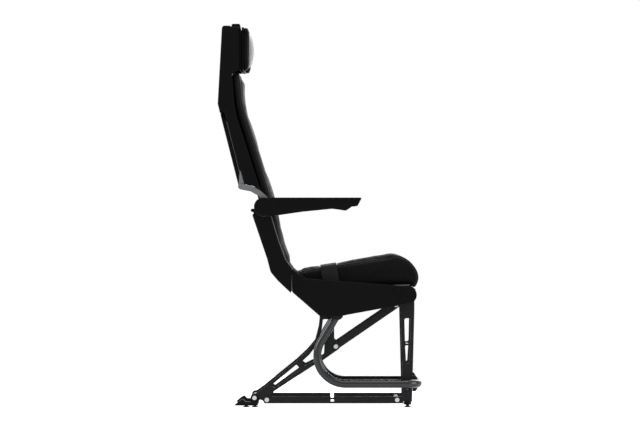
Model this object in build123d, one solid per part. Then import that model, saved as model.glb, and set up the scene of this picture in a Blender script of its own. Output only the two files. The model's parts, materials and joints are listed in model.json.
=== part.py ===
"""A single-place economy airliner seat on two seat-track legs.

The frame is Z up, the passenger faces -Y, and +X is the passenger's left.
The origin lies on the cabin floor, under the middle of the seat's outline.
All sizes are millimetres. Profiles are (y, z) points of the side view.
"""

from build123d import *
import math
import os

os.makedirs("parts", exist_ok=True)

# Across the seat
seat_half = 222.5  # from the middle to an armrest's inner face
armrest_width = 44.0
side_play = 4.5  # between an armrest and the cushion or the back's shell
back_cushion_inset = 10.0
leg_inset = 62.5
rail_inset = 22.5
rail_thickness = 8.0
beam_overhang = 27.5
spreader_thickness = 8.0
cover_depth = 10.0
cover_wall = 2.5
leg_thickness = 12.0

# Clearances
gap = 0.3  # between faces of neighbouring pieces
slip = 0.06  # radial clearance of a pin in its bore
rod_eye_play = 0.9  # the lock rod's eye is loose on the lever pin

# The two cross beams
beam_radius = 20.0
beam_wall = 3.0
front_beam = (-262.0, 337.0)
rear_beam = (-24.0, 301.0)
ring_wall = 7.0  # of a leg's eye round a beam
cap_plug = 8.0
cap_rim = 2.0
sleeve_wall = 5.0
sleeve_reach = 15.0  # how far the front sleeve covers behind the beam's middle
sleeve_lip_z = 355.0  # of the lip that closes the gap below the cushion's nose
sleeve_lip_set_in = 2.5  # behind the front sleeve's foremost line
sleeve_lip = 3.0
sleeve_lip_round = 1.0

# Leg links and their pins
brace_front_pin = (-228.0, 305.4)
tie_front_pin = (-231.0, 22.0)
brace_rear_pin = (-47.6, 181.6)
tie_rear_pin = (159.0, 22.0)
fitting_pin = (196.0, 28.0)
link_thickness = 5.0
brace_width = 19.0
tie_width = 20.6
tie_overhang = 9.2
tie_corner = 5.0
tie_notch_width = 10.0
tie_notch_depth = 15.0
tie_notch_y = -37.0
bolt_radius = 4.0
bolt_head_radius = 6.5
bolt_head_height = 3.5
nut_radius = 7.0

# Front leg: its windows are given from its middle line and its foot
front_leg_foot = (-262.0, 17.0)
front_leg_top_width = 41.0
front_leg_foot_width = 27.0
front_leg_shoulder = 47.0  # below the beam
upper_slot = [(-8.0, 173.0), (-9.5, 249.0), (9.5, 249.0), (7.5, 173.0)]
upper_slot_round = 6.0
lower_slot = [(-4.0, 113.0), (-7.5, 168.0), (7.5, 168.0), (4.0, 113.0)]
lower_slot_round = 3.5
foot_hole_rises = (26.0, 37.5)
foot_hole_radius = 2.8

# Rear leg, from the beam's front down to the foot and back up
rear_leg_edge = [
    (1.0, 262.0),
    (4.0, 237.0),
    (14.5, 196.0),
    (39.0, 167.0),
    (70.0, 138.0),
    (171.0, 56.0),
    (205.0, 32.0),
    (196.0, 17.0),
    (187.0, 22.0),
    (159.0, 13.0),
    (149.0, 22.0),
    (138.0, 47.5),
    (21.0, 124.0),
    (-8.0, 140.0),
    (-52.0, 171.0),
    (-58.0, 186.0),
    (-43.0, 200.0),
    (-42.0, 262.0),
]
rear_leg_window = [
    (-9.0, 263.0),
    (-33.0, 263.0),
    (-33.0, 226.0),
    (-15.0, 212.0),
    (-12.0, 152.0),
    (44.0, 124.0),
    (57.0, 134.0),
    (31.0, 158.0),
    (5.0, 192.0),
    (-6.0, 237.0),
]
rear_leg_window_rounds = [4.0, 4.0, 4.0, 8.0, 6.0, 4.0, 3.0, 8.0, 12.0, 12.0]
rear_leg_slot = [(70.0, 128.0), (59.0, 113.0), (137.0, 57.0), (147.0, 64.0)]
rear_leg_slot_rounds = [4.0, 4.0, 2.0, 2.0]
brace_boss_radius = 11.5
fitting_boss_radius = 11.0
ankle_relief = (178.6, 11.0)
ankle_relief_radius = 11.0

# Track fittings
stud_radius = 9.25
stud_head_height = 3.0
stud_neck_radius = 5.0
track_pitch = 25.4
rear_stud_steps = (18, 19)  # pitches from the front stud to the rear ones
collar_radius = 11.0
collar_play = 2.0
collar_low_z = 8.0
fitting_base_z = 5.0
fitting_ear = 6.0
fitting_ear_radius = 12.0
fitting_nose = [
    (186.0, 5.0),
    (186.0, 16.0),
    (222.0, 16.0),
    (231.0, 25.0),
    (243.0, 18.0),
    (256.0, 6.0),
    (254.0, 5.0),
]
fitting_nose_rounds = [1.0, 1.0, 3.0, 3.0, 4.0, 1.0, 1.0]

# Baggage bar
bar_radius = 12.0
bar_inset = 6.5
bar_low_z = 71.0
bar_front_y = -293.3
bar_bend = 84.0
bar_plan_bend = 50.0
bar_lean = 31.0  # degrees from vertical where it climbs to the rear beam
bar_climb = 124.0  # straight length of the climb
bar_arc_y = -76.0  # where the low run turns up
clamp_wall = 5.0
rear_clamp_half = 16.0
rear_clamp_drop = 30.0  # along the bar, below its end
front_clamp_half = 7.25
front_clamp_height = 47.0
front_clamp_mouth = 26.0
clamp_plate = 3.0

# Armrest; its underside is given behind the tip and below the top
armrest_top_z = 627.0
armrest_pivot_y = 169.0
hub_radius = 27.5
armrest_tip_y = -123.0
armrest_under = [
    (0.0, 0.0),
    (0.0, 4.0),
    (11.0, 25.0),
    (28.0, 27.0),
    (45.0, 39.0),
    (63.0, 36.0),
    (86.0, 33.0),
    (176.0, 42.0),
    (252.0, 53.0),
]
armrest_under_rounds = [1.5, 0.0, 4.0, 4.0, 8.0, 8.0, 3.0, 20.0, 20.0]
armrest_pad = 11.0
armrest_edge = 3.0  # rounding of the moulded edges
hub_slot_radius = 34.0
hub_slot_play = 1.0
hub_cover_play = 1.5  # of a cover round the armrest
pivot_pin_radius = 8.0
pin_end_cover = 6.0
button_behind_tip = 47.0
button_below_top = 24.0
button_radius = 7.5
button_proud = 2.5
button_depth = 5.0
button_travel = 3.0

# Recline joint and its lock
recline_pivot = (108.0, 398.0)
recline_pin_radius = 6.0
recline_eye_radius = 10.2
spacer_radius = 8.0
recline_pin_end = 6.0
lever_pin = (64.0, 344.0)
lever_pin_radius = 3.5
lever_width = 10.0
lock_mount = (-200.0, 316.0)
lock_inset = 37.0  # from a pan saddle
lock_radius = 8.0
lock_start = 13.0
lock_length = 170.0
lock_bore_start = 53.0
lock_rod_start = 73.0
lock_rod_radius = 3.0
lug_radius = 8.0
lug_thickness = 6.4
ear_thickness = 4.0

# Side frame: the edges of its arm, from the seat up to the armrest
arm_rear_edge = [
    (86.0, 342.0),
    (126.0, 380.0),
    (147.0, 405.0),
    (157.5, 445.0),
    (202.0, 576.0),
]
arm_front_edge = [
    (84.0, 416.0),
    (103.0, 442.0),
    (118.0, 481.0),
    (133.0, 526.0),
    (145.0, 568.0),
]
arm_window = [(140.0, 470.0), (158.0, 528.0)]
arm_window_width = 22.0
arm_neck = (164.0, 545.0)
arm_neck_width = 30.0
arm_root = [(110.0, 400.0), (60.0, 372.0)]
arm_knee = [(60.0, 372.0), (105.0, 432.0), (140.0, 405.0), (88.0, 350.0), (60.0, 335.0)]
arm_rounds = [3.0, 0.0, 0.0, 0.0, 4.0, 0.0, 6.0, 12.0, 25.0, 10.0, 1.5]
arm_rise = 201.5  # of the armrest's pin over the recline pin, for which the edges are given
spreader_inset = 4.0  # behind the cover's edge
spreader_lead = 2.2  # of its machined front edge before the cover
seat_window = [(-200.0, 333.0), (-90.0, 320.0)]
seat_window_width = 24.0
skirt_bottom = [(82.0, 345.0), (0.5, 274.0), (-60.0, 274.0), (-201.0, 300.0)]
skirt_top = [(-262.0, 363.0), (40.0, 385.0), (66.0, 402.0)]
skirt_rounds = [0.0, 4.0, 4.0, 2.5, 2.5, 12.0, 12.0, 0.0, 0.0]
skirt_nose_radius = 26.0
cover_edge = 2.0  # rounding of a cover's outer edge
skirt_cap_centre = (-233.0, 348.0)
skirt_cap_radius = 12.0
skirt_cap_proud = 1.6

# Back: the line of its front face, from the foot to the crown
back_rise = 742.0  # of the top over the recline pin, for which the heights are given
back_top_z = 1140.0
back_top_y = 292.5
back_face_drawn = [
    (84.0, 421.0),
    (97.0, 445.0),
    (114.0, 487.0),
    (129.0, 571.0),
    (144.0, 628.0),
    (224.0, 878.0),
    (231.0, 915.0),
    (237.0, 1003.0),
]
back_face_rounds = [60.0, 120.0, 200.0, 300.0, 120.0, 120.0]
back_crown_drawn = (235.0, 1118.0)
back_crown_round = 60.0
back_pad = 26.0
back_pad_edge = 10.0
rail_set_back = 26.3
rail_depth = 13.0
rail_foot_drawn_z = 430.0
rail_foot_width = 11.0
wall = 3.0
kink_drawn_z = 907.0
crossbar_radius = 6.0
crossbar_drawn_z = (412.0, 660.0, 1010.0)
shell_edge = 2.5
upper_rib_spans = [(700.0, 725.0), (840.0, 862.0)]
upper_chin = [(188.0, 655.5), (206.0, 664.0)]
upper_chin_rounds = [4.0, 10.0]
upper_front_z = (672.0, 995.0)
upper_step_z = 1010.0
upper_front_y = 243.0
upper_cap_y = 268.0
upper_top_drop = 4.0
upper_cap_round = 9.0
shell_side_low = 4.5  # of the side walls over the table's hinge
shell_side_rounds = [1.0, 2.0, 2.0, 1.0, 2.0, 4.0, 9.0, 3.0, 2.0, 0.0]
kick_top = (205.0, 585.0)
kick_bead = (201.5, 589.0)
kick_bead_radius = 5.0
kick_rounds = [22.0, 30.0, 100.0]
kick_set_in = 5.0
kick_flange = 12.0
kick_rib_spans = [(430.0, 452.0), (540.0, 562.0)]

# Table
table_hinge_drawn = (236.5, 660.0)
table_top_drawn = (292.3, 879.0)  # where the stowed leaf ends
leaf_below_hinge = 7.0
leaf_thickness = 12.0
leaf_inset = 17.5
leaf_corner = 26.0
leaf_edge = 2.0
leaf_top_play = 1.5  # from the leaf's top to the shell's ledge
leaf_panel_play = 1.0  # from the stowed leaf to the panel behind it
leaf_side_play = 1.5  # from the stowed leaf's plane to the shell's side walls
cup_radius = 38.0
cup_depth = 2.5
cup_from_side = 60.0
cup_above_hinge = 83.0
table_rail_depth = 5.0
table_rail_width = 10.0
table_rail_short = 26.0  # of the leaf's top
table_rail_slope = 6.0
table_play = 2.0  # between the stowed table's arms and the shell
cheek_length = 40.0
bracket_width = 16.0
bracket_inset = 9.5
bracket_thickness = 6.0
bracket_drawn = [(164.0, 625.0), (181.0, 640.0), (207.0, 654.5)]
bracket_bolt_drawn = (189.0, 643.0)
bracket_boss_radius = 7.0
table_knuckle = 7.0
table_pin_radius = 3.0

# Turn latch in its bay above the table
latch_drawn_z = 911.0
latch_length = 41.0
latch_width = 16.0
latch_thickness = 3.5
latch_grip = 2.9
latch_grip_width = 4.0
latch_boss_radius = 9.0
latch_spindle_radius = 5.0
latch_face_y = 298.6
latch_bay_y = 289.0
latch_bay_half = 48.0
latch_bay_above = 12.0

# Literature pocket in the upper shell
pocket_margin = 30.0
pocket_depth = 16.0
pocket_drawn_z = (945.0, 1108.0)
pocket_lip_drawn_z = 1072.0

# Headrest
headrest_drawn_z = (1004.0, 1138.0)
headrest_back_y = 233.5
headrest_depth = 19.5
headrest_inset = 22.5
wing_width = 92.0
wing_plate = 6.0
wing_corner = 10.0
pad_corner = 12.0
pad_edge = 5.0
pad_overhang = 1.0
pillow_margin = 11.0
pillow_proud = 13.0
pillow_above = 12.0  # over the headrest's foot
pillow_below = 10.0  # under its top
slider_half = 70.0
slider_thickness = 4.0
slider_grip_half = 85.0
slider_grip_depth = 26.0
slider_grip_round = 5.0
guide_y = 237.0
guide_wall = 3.0
guide_side = 6.0
post_x = 45.0
post_width = 12.0
post_height = 24.0
post_play = 1.2
post_drop = 20.0  # of the posts' feet over the headrest's foot
pad_hinge_play = 4.0  # from a wing's pad to the wing's hinge
wing_pin_radius = 2.0
knuckle_radius = 5.0
knuckle_play = 1.0

# Seat pan and cushion
pan_thickness = 2.5
pan_front_z = 367.5
pan_rear = (28.0, 358.0)
pan_nose = 6.0
flange_start = 28.0
flange_depth = (16.0, 12.0)
flange_corner = 4.0
saddle_inset = 102.5
saddle_half = 15.0
saddle_rear_reach = 12.0
cushion_top_front = (-227.0, 455.0)
cushion_top_rear = (80.0, 407.5)
cushion_nose = (-299.0, 392.0)
cushion_nose_high = (-288.0, 420.0)
cushion_nose_low = (-295.0, 374.0)
cushion_crease = (-284.0, 357.0)
cushion_rear = (75.5, 386.0)
cushion_dish = 14.0
cushion_rim = 26.0
cushion_edge = 14.0

# Lap belt
webbing_width = 48.0
webbing_thickness = 1.6
webbing_round = 60.0
belt_outset = 3.5
belt_along = -25.0  # y of the belt's middle line on the cushion
belt_lift = 1.2  # of the webbing's middle above the cushion
belt_end_drop = 62.0
belt_step = 24.0
belt_rise = 30.0  # from the end bar to where the webbing lies on the cushion
roll_radius = 4.4
roll_bar = (6.0, 2.4)
anchor_height = 16.0
anchor_foot = 8.0
anchor_half = 20.0
anchor_thickness = 3.0
buckle_x = 38.0  # of the buckle's adjuster bar
buckle_lift = 0.5
buckle_plate = 2.4
buckle_bar_rise = 4.6
buckle_wall = 2.6
buckle_rail = 7.0
buckle_height = 13.0
buckle_width = 58.0
buckle_open = 9.0  # between the floor's end and the adjuster bar
buckle_pin = (22.0, 9.0)  # across, and up from the buckle's floor
buckle_pin_radius = 1.5
buckle_ear = (14.0, 5.0)
buckle_nose = -34.0
lid_knuckle = 4.0
lid_skin = 2.6
tongue_x = -60.0  # of the tongue's webbing bar
tongue_rise = 5.2
tongue_play = 1.5
tongue_slot = 6.0

cushion_half = seat_half - side_play
back_half = seat_half - side_play
back_cushion_half = seat_half - back_cushion_inset
leg_x = seat_half - leg_inset
rail_x = seat_half - rail_inset
beam_end_x = seat_half + beam_overhang
bar_side_x = seat_half - bar_inset
bracket_x = seat_half - bracket_inset
leaf_half = seat_half - leaf_inset
belt_x = seat_half + belt_outset
saddle_x = seat_half - saddle_inset
lock_x = saddle_x - saddle_half - lock_inset
wing_end_x = seat_half - headrest_inset
headrest_centre_half = wing_end_x - wing_width
pillow_half = headrest_centre_half - pillow_margin
pocket_half = back_half - pocket_margin
spreader_x = seat_half + (armrest_width - spreader_thickness) / 2
cover_x = spreader_x + spreader_thickness + gap
leg_low_x = leg_x - leg_thickness / 2
leg_high_x = leg_x + leg_thickness / 2
link_x = leg_high_x + gap
armrest_outer_x = seat_half + armrest_width
armrest_pivot = (armrest_pivot_y, armrest_top_z - hub_radius)
button_centre = (armrest_tip_y + button_behind_tip, armrest_top_z - button_below_top)


# Drawing helpers
def outline(points, rounds=0.0):
    """A face in the side view, with its corners rounded."""
    return make_face(FilletPolyline(*points, radius=rounds, close=True))


def side_extrude(face, x_low, x_high):
    """Gives a side-view face its width, from x_low to x_high."""
    return Pos(x_low, 0, 0) * extrude(Plane.YZ * face, amount=x_high - x_low)


def plate(points, x_low, x_high, rounds=0.0):
    return side_extrude(outline(points, rounds), x_low, x_high)


def disc(centre, radius):
    return Pos(*centre) * Circle(radius)


def rod(centre, radius, x_low, x_high):
    """A round bar across the seat."""
    return side_extrude(disc(centre, radius), x_low, x_high)


def link_face(start, end, width):
    """A bar with round ends between two pins."""
    run = Vector(end[0] - start[0], end[1] - start[1])
    middle = ((start[0] + end[0]) / 2, (start[1] + end[1]) / 2)
    turn = math.degrees(math.atan2(run.Y, run.X))
    return Pos(*middle) * Rot(0, 0, turn) * SlotCenterToCenter(run.length, width)


def block(x_low, x_high, y_low, y_high, z_low, z_high):
    size = (x_high - x_low, y_high - y_low, z_high - z_low)
    centre = ((x_low + x_high) / 2, (y_low + y_high) / 2, (z_low + z_high) / 2)
    return Pos(*centre) * Box(*size)


def mirrored(shape):
    return mirror(shape, about=Plane.YZ)


def both(shape):
    """The piece and its mirror image, as separate solids."""
    return Compound([*shape.solids(), *mirrored(shape).solids()])


def offset_line(points, distance):
    """The line moved by distance to its right, towards the rear, with mitred corners."""
    runs = [
        Vector(b[0] - a[0], b[1] - a[1]).normalized() for a, b in zip(points, points[1:])
    ]
    moved = []
    for i, point in enumerate(points):
        before = runs[max(i - 1, 0)]
        after = runs[min(i, len(runs) - 1)]
        normal = Vector(before.Y + after.Y, -before.X - after.X).normalized()
        stretch = normal.X * after.Y - normal.Y * after.X
        moved.append(
            (
                point[0] + normal.X * distance / stretch,
                point[1] + normal.Y * distance / stretch,
            )
        )
    return moved


def rounded_offset(points, rounds, distance):
    """The rounded line moved by distance, its bends kept concentric."""
    radii = []
    for a, b, c, radius in zip(points, points[1:], points[2:], rounds):
        turn = (b[0] - a[0]) * (c[1] - b[1]) - (b[1] - a[1]) * (c[0] - b[0])
        radii.append(radius + distance if turn > 0 else radius - distance)
    return FilletPolyline(*offset_line(points, distance), radius=radii)


def strip_face(points, rounds, near, far):
    """The face between two offsets of a rounded line."""
    near_line = rounded_offset(points, rounds, near)
    far_line = rounded_offset(points, rounds, far)
    ends = [Line(near_line @ 0, far_line @ 0), Line(near_line @ 1, far_line @ 1)]
    edges = [*near_line.edges(), *far_line.edges()]
    return make_face(Wire([*edges, *ends[0].edges(), *ends[1].edges()]))


def at_height(points, z):
    """The point where a rising line passes the height z."""
    for (y0, z0), (y1, z1) in zip(points, points[1:]):
        if z0 <= z <= z1:
            return (y0 + (y1 - y0) * (z - z0) / (z1 - z0), z)
    return points[-1]


def back_z(z):
    """A height drawn for a back of back_rise, on one as tall as back_top_z."""
    base = recline_pivot[1]
    return base + (z - base) * (back_top_z - base) / back_rise


def arm_z(z):
    """A height drawn for an arm of arm_rise, on one that reaches the armrest's pin."""
    base = recline_pivot[1]
    return base + max(z - base, 0) * (armrest_pivot[1] - base) / arm_rise + min(z - base, 0)


def on_back(points):
    return [(y, back_z(z)) for y, z in points]


def on_arm(points):
    return [(y, arm_z(z)) for y, z in points]


def between(points, z_low, z_high):
    """The part of a rising line between two heights."""
    inside = [p for p in points if z_low < p[1] < z_high]
    return [at_height(points, z_low), *inside, at_height(points, z_high)]


def soft_sides(solid, radius):
    """Rounds the edges of the two side faces."""
    faces = solid.faces().filter_by(Axis.X).sort_by(Axis.X)
    return fillet([*faces[0].edges(), *faces[-1].edges()], radius)


def soft_outside(solid, radius):
    """Rounds the edges of the outermost side face."""
    return fillet(solid.faces().sort_by(Axis.X)[-1].edges(), radius)


def cylinder_at(x, y, z_low, z_high, radius):
    """An upright round bar."""
    return Pos(x, y, (z_low + z_high) / 2) * Cylinder(radius, z_high - z_low)


back_face = on_back(back_face_drawn)
back_crown = on_back([back_crown_drawn])[0]
kink_z = back_z(kink_drawn_z)
crossbar_heights = [back_z(z) for z in crossbar_drawn_z]
table_hinge, table_top = on_back([table_hinge_drawn, table_top_drawn])
table_lean = Vector(table_top[0] - table_hinge[0], table_top[1] - table_hinge[1])
leaf_length = table_lean.length
table_tilt = math.degrees(math.atan2(table_lean.X, table_lean.Y))
bracket_line = on_back(bracket_drawn)
bracket_bolt = on_back([bracket_bolt_drawn])[0]
latch_z = back_z(latch_drawn_z)
pocket_low_z, pocket_high_z = [back_z(z) for z in pocket_drawn_z]
pocket_lip_z = back_z(pocket_lip_drawn_z)
headrest_low_z, headrest_high_z = [back_z(z) for z in headrest_drawn_z]
spreader_rear_edge = on_arm(arm_rear_edge)
spreader_front_edge = on_arm(arm_front_edge)
kick_edge = on_back([*arm_rear_edge[1:], kick_top])


def leaf_point(along, out):
    """A point of the stowed table: along it from the hinge, and out to the rear."""
    tilt = math.radians(table_tilt)
    return (
        table_hinge[0] + along * math.sin(tilt) + out * math.cos(tilt),
        table_hinge[1] + along * math.cos(tilt) - out * math.sin(tilt),
    )


# Legs
def front_leg():
    """A machined plate with an eye round the front beam and two long slots."""
    foot_y, foot_z = front_leg_foot
    shoulder_z = front_beam[1] - front_leg_shoulder
    half_top, half_foot = front_leg_top_width / 2, front_leg_foot_width / 2
    face = outline(
        [
            (foot_y - half_top, front_beam[1]),
            (foot_y - half_top, shoulder_z),
            (foot_y - half_foot, foot_z),
            (foot_y + half_foot, foot_z),
            (foot_y + half_top, shoulder_z),
            (foot_y + half_top, front_beam[1]),
        ]
    )
    face += disc(front_beam, beam_radius + ring_wall)
    face += link_face(front_beam, brace_front_pin, brace_width)
    face += link_face((foot_y, tie_front_pin[1]), tie_front_pin, tie_width)
    for points, rounds in ((upper_slot, upper_slot_round), (lower_slot, lower_slot_round)):
        face -= Pos(foot_y, foot_z) * outline(points, rounds)
    face -= disc(front_beam, beam_radius + slip)
    collar_room = 2 * (collar_radius + collar_play)
    face -= Pos(foot_y, foot_z / 2) * Rectangle(collar_room, foot_z)
    for rise in foot_hole_rises:
        face -= disc((foot_y, foot_z + rise), foot_hole_radius)
    for pin in (brace_front_pin, tie_front_pin):
        face -= disc(pin, bolt_radius + slip)
    return side_extrude(face, leg_low_x, leg_high_x)


def rear_leg():
    """A forked truss from the rear beam down and back to the rear track fitting."""
    ring_y, ring_z = rear_beam
    ring_radius = beam_radius + ring_wall
    ends = [(ring_y + ring_radius, ring_z), (ring_y - ring_radius, ring_z)]
    face = outline([ends[0], *rear_leg_edge, ends[1]]) + disc(rear_beam, ring_radius)
    face += disc(brace_rear_pin, brace_boss_radius) + disc(tie_rear_pin, tie_width / 2)
    face += disc(fitting_pin, fitting_boss_radius)
    face -= disc(ankle_relief, ankle_relief_radius)
    face -= outline(rear_leg_window, rear_leg_window_rounds)
    face -= outline(rear_leg_slot, rear_leg_slot_rounds)
    face -= disc(rear_beam, beam_radius + slip)
    for pin in (brace_rear_pin, tie_rear_pin, fitting_pin):
        face -= disc(pin, bolt_radius + slip)
    return side_extrude(face, leg_low_x, leg_high_x)


def brace():
    face = link_face(brace_rear_pin, brace_front_pin, brace_width)
    for pin in (brace_rear_pin, brace_front_pin):
        face -= disc(pin, bolt_radius + slip)
    return side_extrude(face, link_x, link_x + link_thickness)


def tie_bar():
    """The low bar between the feet, with a notch in the middle of its top edge."""
    y_low, y_high = tie_front_pin[0] - tie_overhang, tie_rear_pin[0] + tie_overhang
    z_low, z_high = tie_front_pin[1] - tie_width / 2, tie_front_pin[1] + tie_width / 2
    face = outline(
        [(y_low, z_low), (y_low, z_high), (y_high, z_high), (y_high, z_low)], tie_corner
    )
    notch_z = z_high - tie_notch_depth / 2
    face -= Pos(tie_notch_y, notch_z) * Rectangle(tie_notch_width, tie_notch_depth)
    for pin in (tie_rear_pin, tie_front_pin):
        face -= disc(pin, bolt_radius + slip)
    return side_extrude(face, link_x, link_x + link_thickness)


def through_bolt(pin, x_low, x_high):
    """A bolt with its head outboard and its nut inboard."""
    shank = rod(pin, bolt_radius, x_low, x_high)
    head = rod(pin, bolt_head_radius, x_high, x_high + bolt_head_height)
    nut_face = Pos(*pin) * RegularPolygon(nut_radius, 6)
    nut = side_extrude(nut_face, x_low - bolt_head_height, x_low)
    return shank + head + nut


def leg_bolts():
    outer_x = link_x + link_thickness
    bolts = [
        through_bolt(pin, leg_low_x, outer_x)
        for pin in (brace_front_pin, brace_rear_pin, tie_front_pin, tie_rear_pin)
    ]
    ear_x = leg_thickness / 2 + gap + fitting_ear
    bolts.append(through_bolt(fitting_pin, leg_x - ear_x, leg_x + ear_x))
    return both(Compound([b.solid() for b in bolts]))


# Track fittings
def track_stud(y, neck_top_z):
    """A mushroom stud that drops into a seat track."""
    head = cylinder_at(leg_x, y, 0, stud_head_height, stud_radius)
    return head + cylinder_at(leg_x, y, stud_head_height, neck_top_z, stud_neck_radius)


def front_fitting():
    """The front stud and the collar that screws into the leg's foot."""
    foot_y, foot_z = front_leg_foot
    collar = cylinder_at(leg_x, foot_y, collar_low_z, foot_z, collar_radius)
    return track_stud(foot_y, collar_low_z) + collar


def rear_fitting():
    """The rear fitting: a nosed base with two studs and two ears round the leg."""
    half = leg_thickness / 2 + gap + fitting_ear
    body = plate(fitting_nose, leg_x - half, leg_x + half, fitting_nose_rounds)
    root = (fitting_pin[0], fitting_base_z + fitting_ear_radius)
    ear = disc(fitting_pin, fitting_ear_radius)
    ear += link_face(fitting_pin, root, 2 * fitting_ear_radius)
    ear &= Pos(fitting_pin[0], fitting_base_z + 2 * fitting_pin[1]) * Rectangle(
        4 * fitting_ear_radius, 4 * fitting_pin[1]
    )
    ear -= disc(fitting_pin, bolt_radius + slip)
    for x_low in (leg_x - half, leg_x + half - fitting_ear):
        body += side_extrude(ear, x_low, x_low + fitting_ear)
    for steps in rear_stud_steps:
        body += track_stud(front_leg_foot[0] + steps * track_pitch, fitting_base_z)
    room = rod(fitting_pin, fitting_ear_radius, leg_low_x - gap, leg_high_x + gap)
    return body - room


# Beams
def beam(centre):
    face = disc(centre, beam_radius) - disc(centre, beam_radius - beam_wall)
    return side_extrude(face, -beam_end_x, beam_end_x)


def beam_end_caps():
    """Plugs in the open ends of both beams."""
    plug_radius = beam_radius - beam_wall - slip
    caps = []
    for centre in (front_beam, rear_beam):
        cap = rod(centre, plug_radius, beam_end_x - cap_plug, beam_end_x)
        cap += rod(centre, beam_radius, beam_end_x, beam_end_x + cap_rim)
        caps.append(cap.solid())
    return both(Compound(caps))


# Baggage bar
def bar_climb_start():
    """Where the bend ends and the climb to the rear beam begins."""
    lean = math.radians(bar_lean)
    centre_z = bar_low_z + bar_bend
    return (
        bar_arc_y + bar_bend * math.cos(lean),
        centre_z + bar_bend * math.sin(lean),
    )


def bar_top():
    lean = math.radians(bar_lean)
    y, z = bar_climb_start()
    return (y - bar_climb * math.sin(lean), z + bar_climb * math.cos(lean))


def baggage_bar():
    """One bent tube: down from the rear beam, forward, across, and back up."""
    y0, z0 = bar_climb_start()
    y_top, z_top = bar_top()
    lean = math.radians(bar_lean)
    middle_turn = math.radians((90 - bar_lean) / 2 - bar_lean)
    centre = (bar_arc_y, bar_low_z + bar_bend)
    mid = (
        centre[0] + bar_bend * math.cos(middle_turn),
        centre[1] - bar_bend * math.sin(middle_turn),
    )
    side = bar_side_x
    turn_y = bar_front_y + bar_plan_bend
    half = math.sqrt(0.5)
    bend_x = side - bar_plan_bend
    path = []
    for s in (1, -1):
        path.append(Line((s * side, y_top, z_top), (s * side, y0, z0)))
        path.append(
            ThreePointArc(
                (s * side, y0, z0),
                (s * side, mid[0], mid[1]),
                (s * side, bar_arc_y, bar_low_z),
            )
        )
        path.append(Line((s * side, bar_arc_y, bar_low_z), (s * side, turn_y, bar_low_z)))
        path.append(
            ThreePointArc(
                (s * side, turn_y, bar_low_z),
                (
                    s * (bend_x + bar_plan_bend * half),
                    turn_y - bar_plan_bend * half,
                    bar_low_z,
                ),
                (s * bend_x, bar_front_y, bar_low_z),
            )
        )
    path.append(Line((bend_x, bar_front_y, bar_low_z), (-bend_x, bar_front_y, bar_low_z)))
    wire = Wire([e for p in path for e in p.edges()])
    direction = Vector(0, math.sin(lean), -math.cos(lean))
    start = Plane(origin=(side, y_top, z_top), z_dir=direction)
    return sweep(start * Circle(bar_radius), path=wire)


def front_bar_clamps():
    """Saddles between the front legs and the bar's cross run."""
    foot_y, foot_z = front_leg_foot
    share = (bar_low_z - foot_z) / (front_beam[1] - front_leg_shoulder - foot_z)
    half_leg = (
        front_leg_foot_width + (front_leg_top_width - front_leg_foot_width) * share
    ) / 2
    back_y = foot_y - half_leg - clamp_plate
    half_high, half_mouth = front_clamp_height / 2, front_clamp_mouth / 2
    face = outline(
        [
            (back_y, bar_low_z + half_high),
            (back_y, bar_low_z - half_high),
            (back_y - 2 * clamp_plate, bar_low_z - half_high),
            (bar_front_y, bar_low_z - half_mouth),
            (bar_front_y, bar_low_z + half_mouth),
            (back_y - 2 * clamp_plate, bar_low_z + half_high),
        ],
        clamp_plate / 2,
    )
    face += Pos(back_y, bar_low_z) * Rectangle(2 * clamp_plate - gap, half_high * 2 - gap)
    face -= disc((bar_front_y, bar_low_z), bar_radius + slip)
    leg = side_extrude(
        offset(outline(
            [
                (foot_y - front_leg_top_width / 2, front_beam[1] - front_leg_shoulder),
                (foot_y - front_leg_foot_width / 2, foot_z),
                (foot_y, foot_z),
                (foot_y, front_beam[1] - front_leg_shoulder),
            ]
        ), gap),
        leg_low_x - front_clamp_half,
        leg_high_x + front_clamp_half,
    )
    return both(side_extrude(face, leg_x - front_clamp_half, leg_x + front_clamp_half) - leg)


def rear_bar_clamps():
    """Blocks that hold the bar's upper ends to the rear beam."""
    y_top, z_top = bar_top()
    lean = math.radians(bar_lean)
    low = (
        y_top + rear_clamp_drop * math.sin(lean),
        z_top - rear_clamp_drop * math.cos(lean),
    )
    face = link_face(low, rear_beam, 2 * (bar_radius + clamp_wall))
    face += disc(rear_beam, beam_radius + clamp_wall)
    face -= disc(rear_beam, beam_radius + slip)
    clamp = side_extrude(face, bar_side_x - rear_clamp_half, bar_side_x + rear_clamp_half)
    tube = Plane(
        origin=(bar_side_x, y_top, z_top),
        z_dir=(0, math.sin(lean), -math.cos(lean)),
    ) * Circle(bar_radius + slip)
    return both(clamp - extrude(tube, amount=bar_climb, both=True))


# Spreaders, their covers and the side skirts
def arm_face():
    """The upright arm of the side frame, up to the armrest's hub."""
    points = [*spreader_front_edge, armrest_pivot, *reversed(spreader_rear_edge)]
    return outline(points, arm_rounds)


def skirt_face():
    """The side of the seat frame, from its nose back to the arm's foot."""
    nose = (front_beam[0], front_beam[1] - skirt_nose_radius)
    points = [*skirt_top, spreader_front_edge[0], *skirt_bottom, nose]
    return outline(points, skirt_rounds) + disc(front_beam, skirt_nose_radius)


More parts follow.
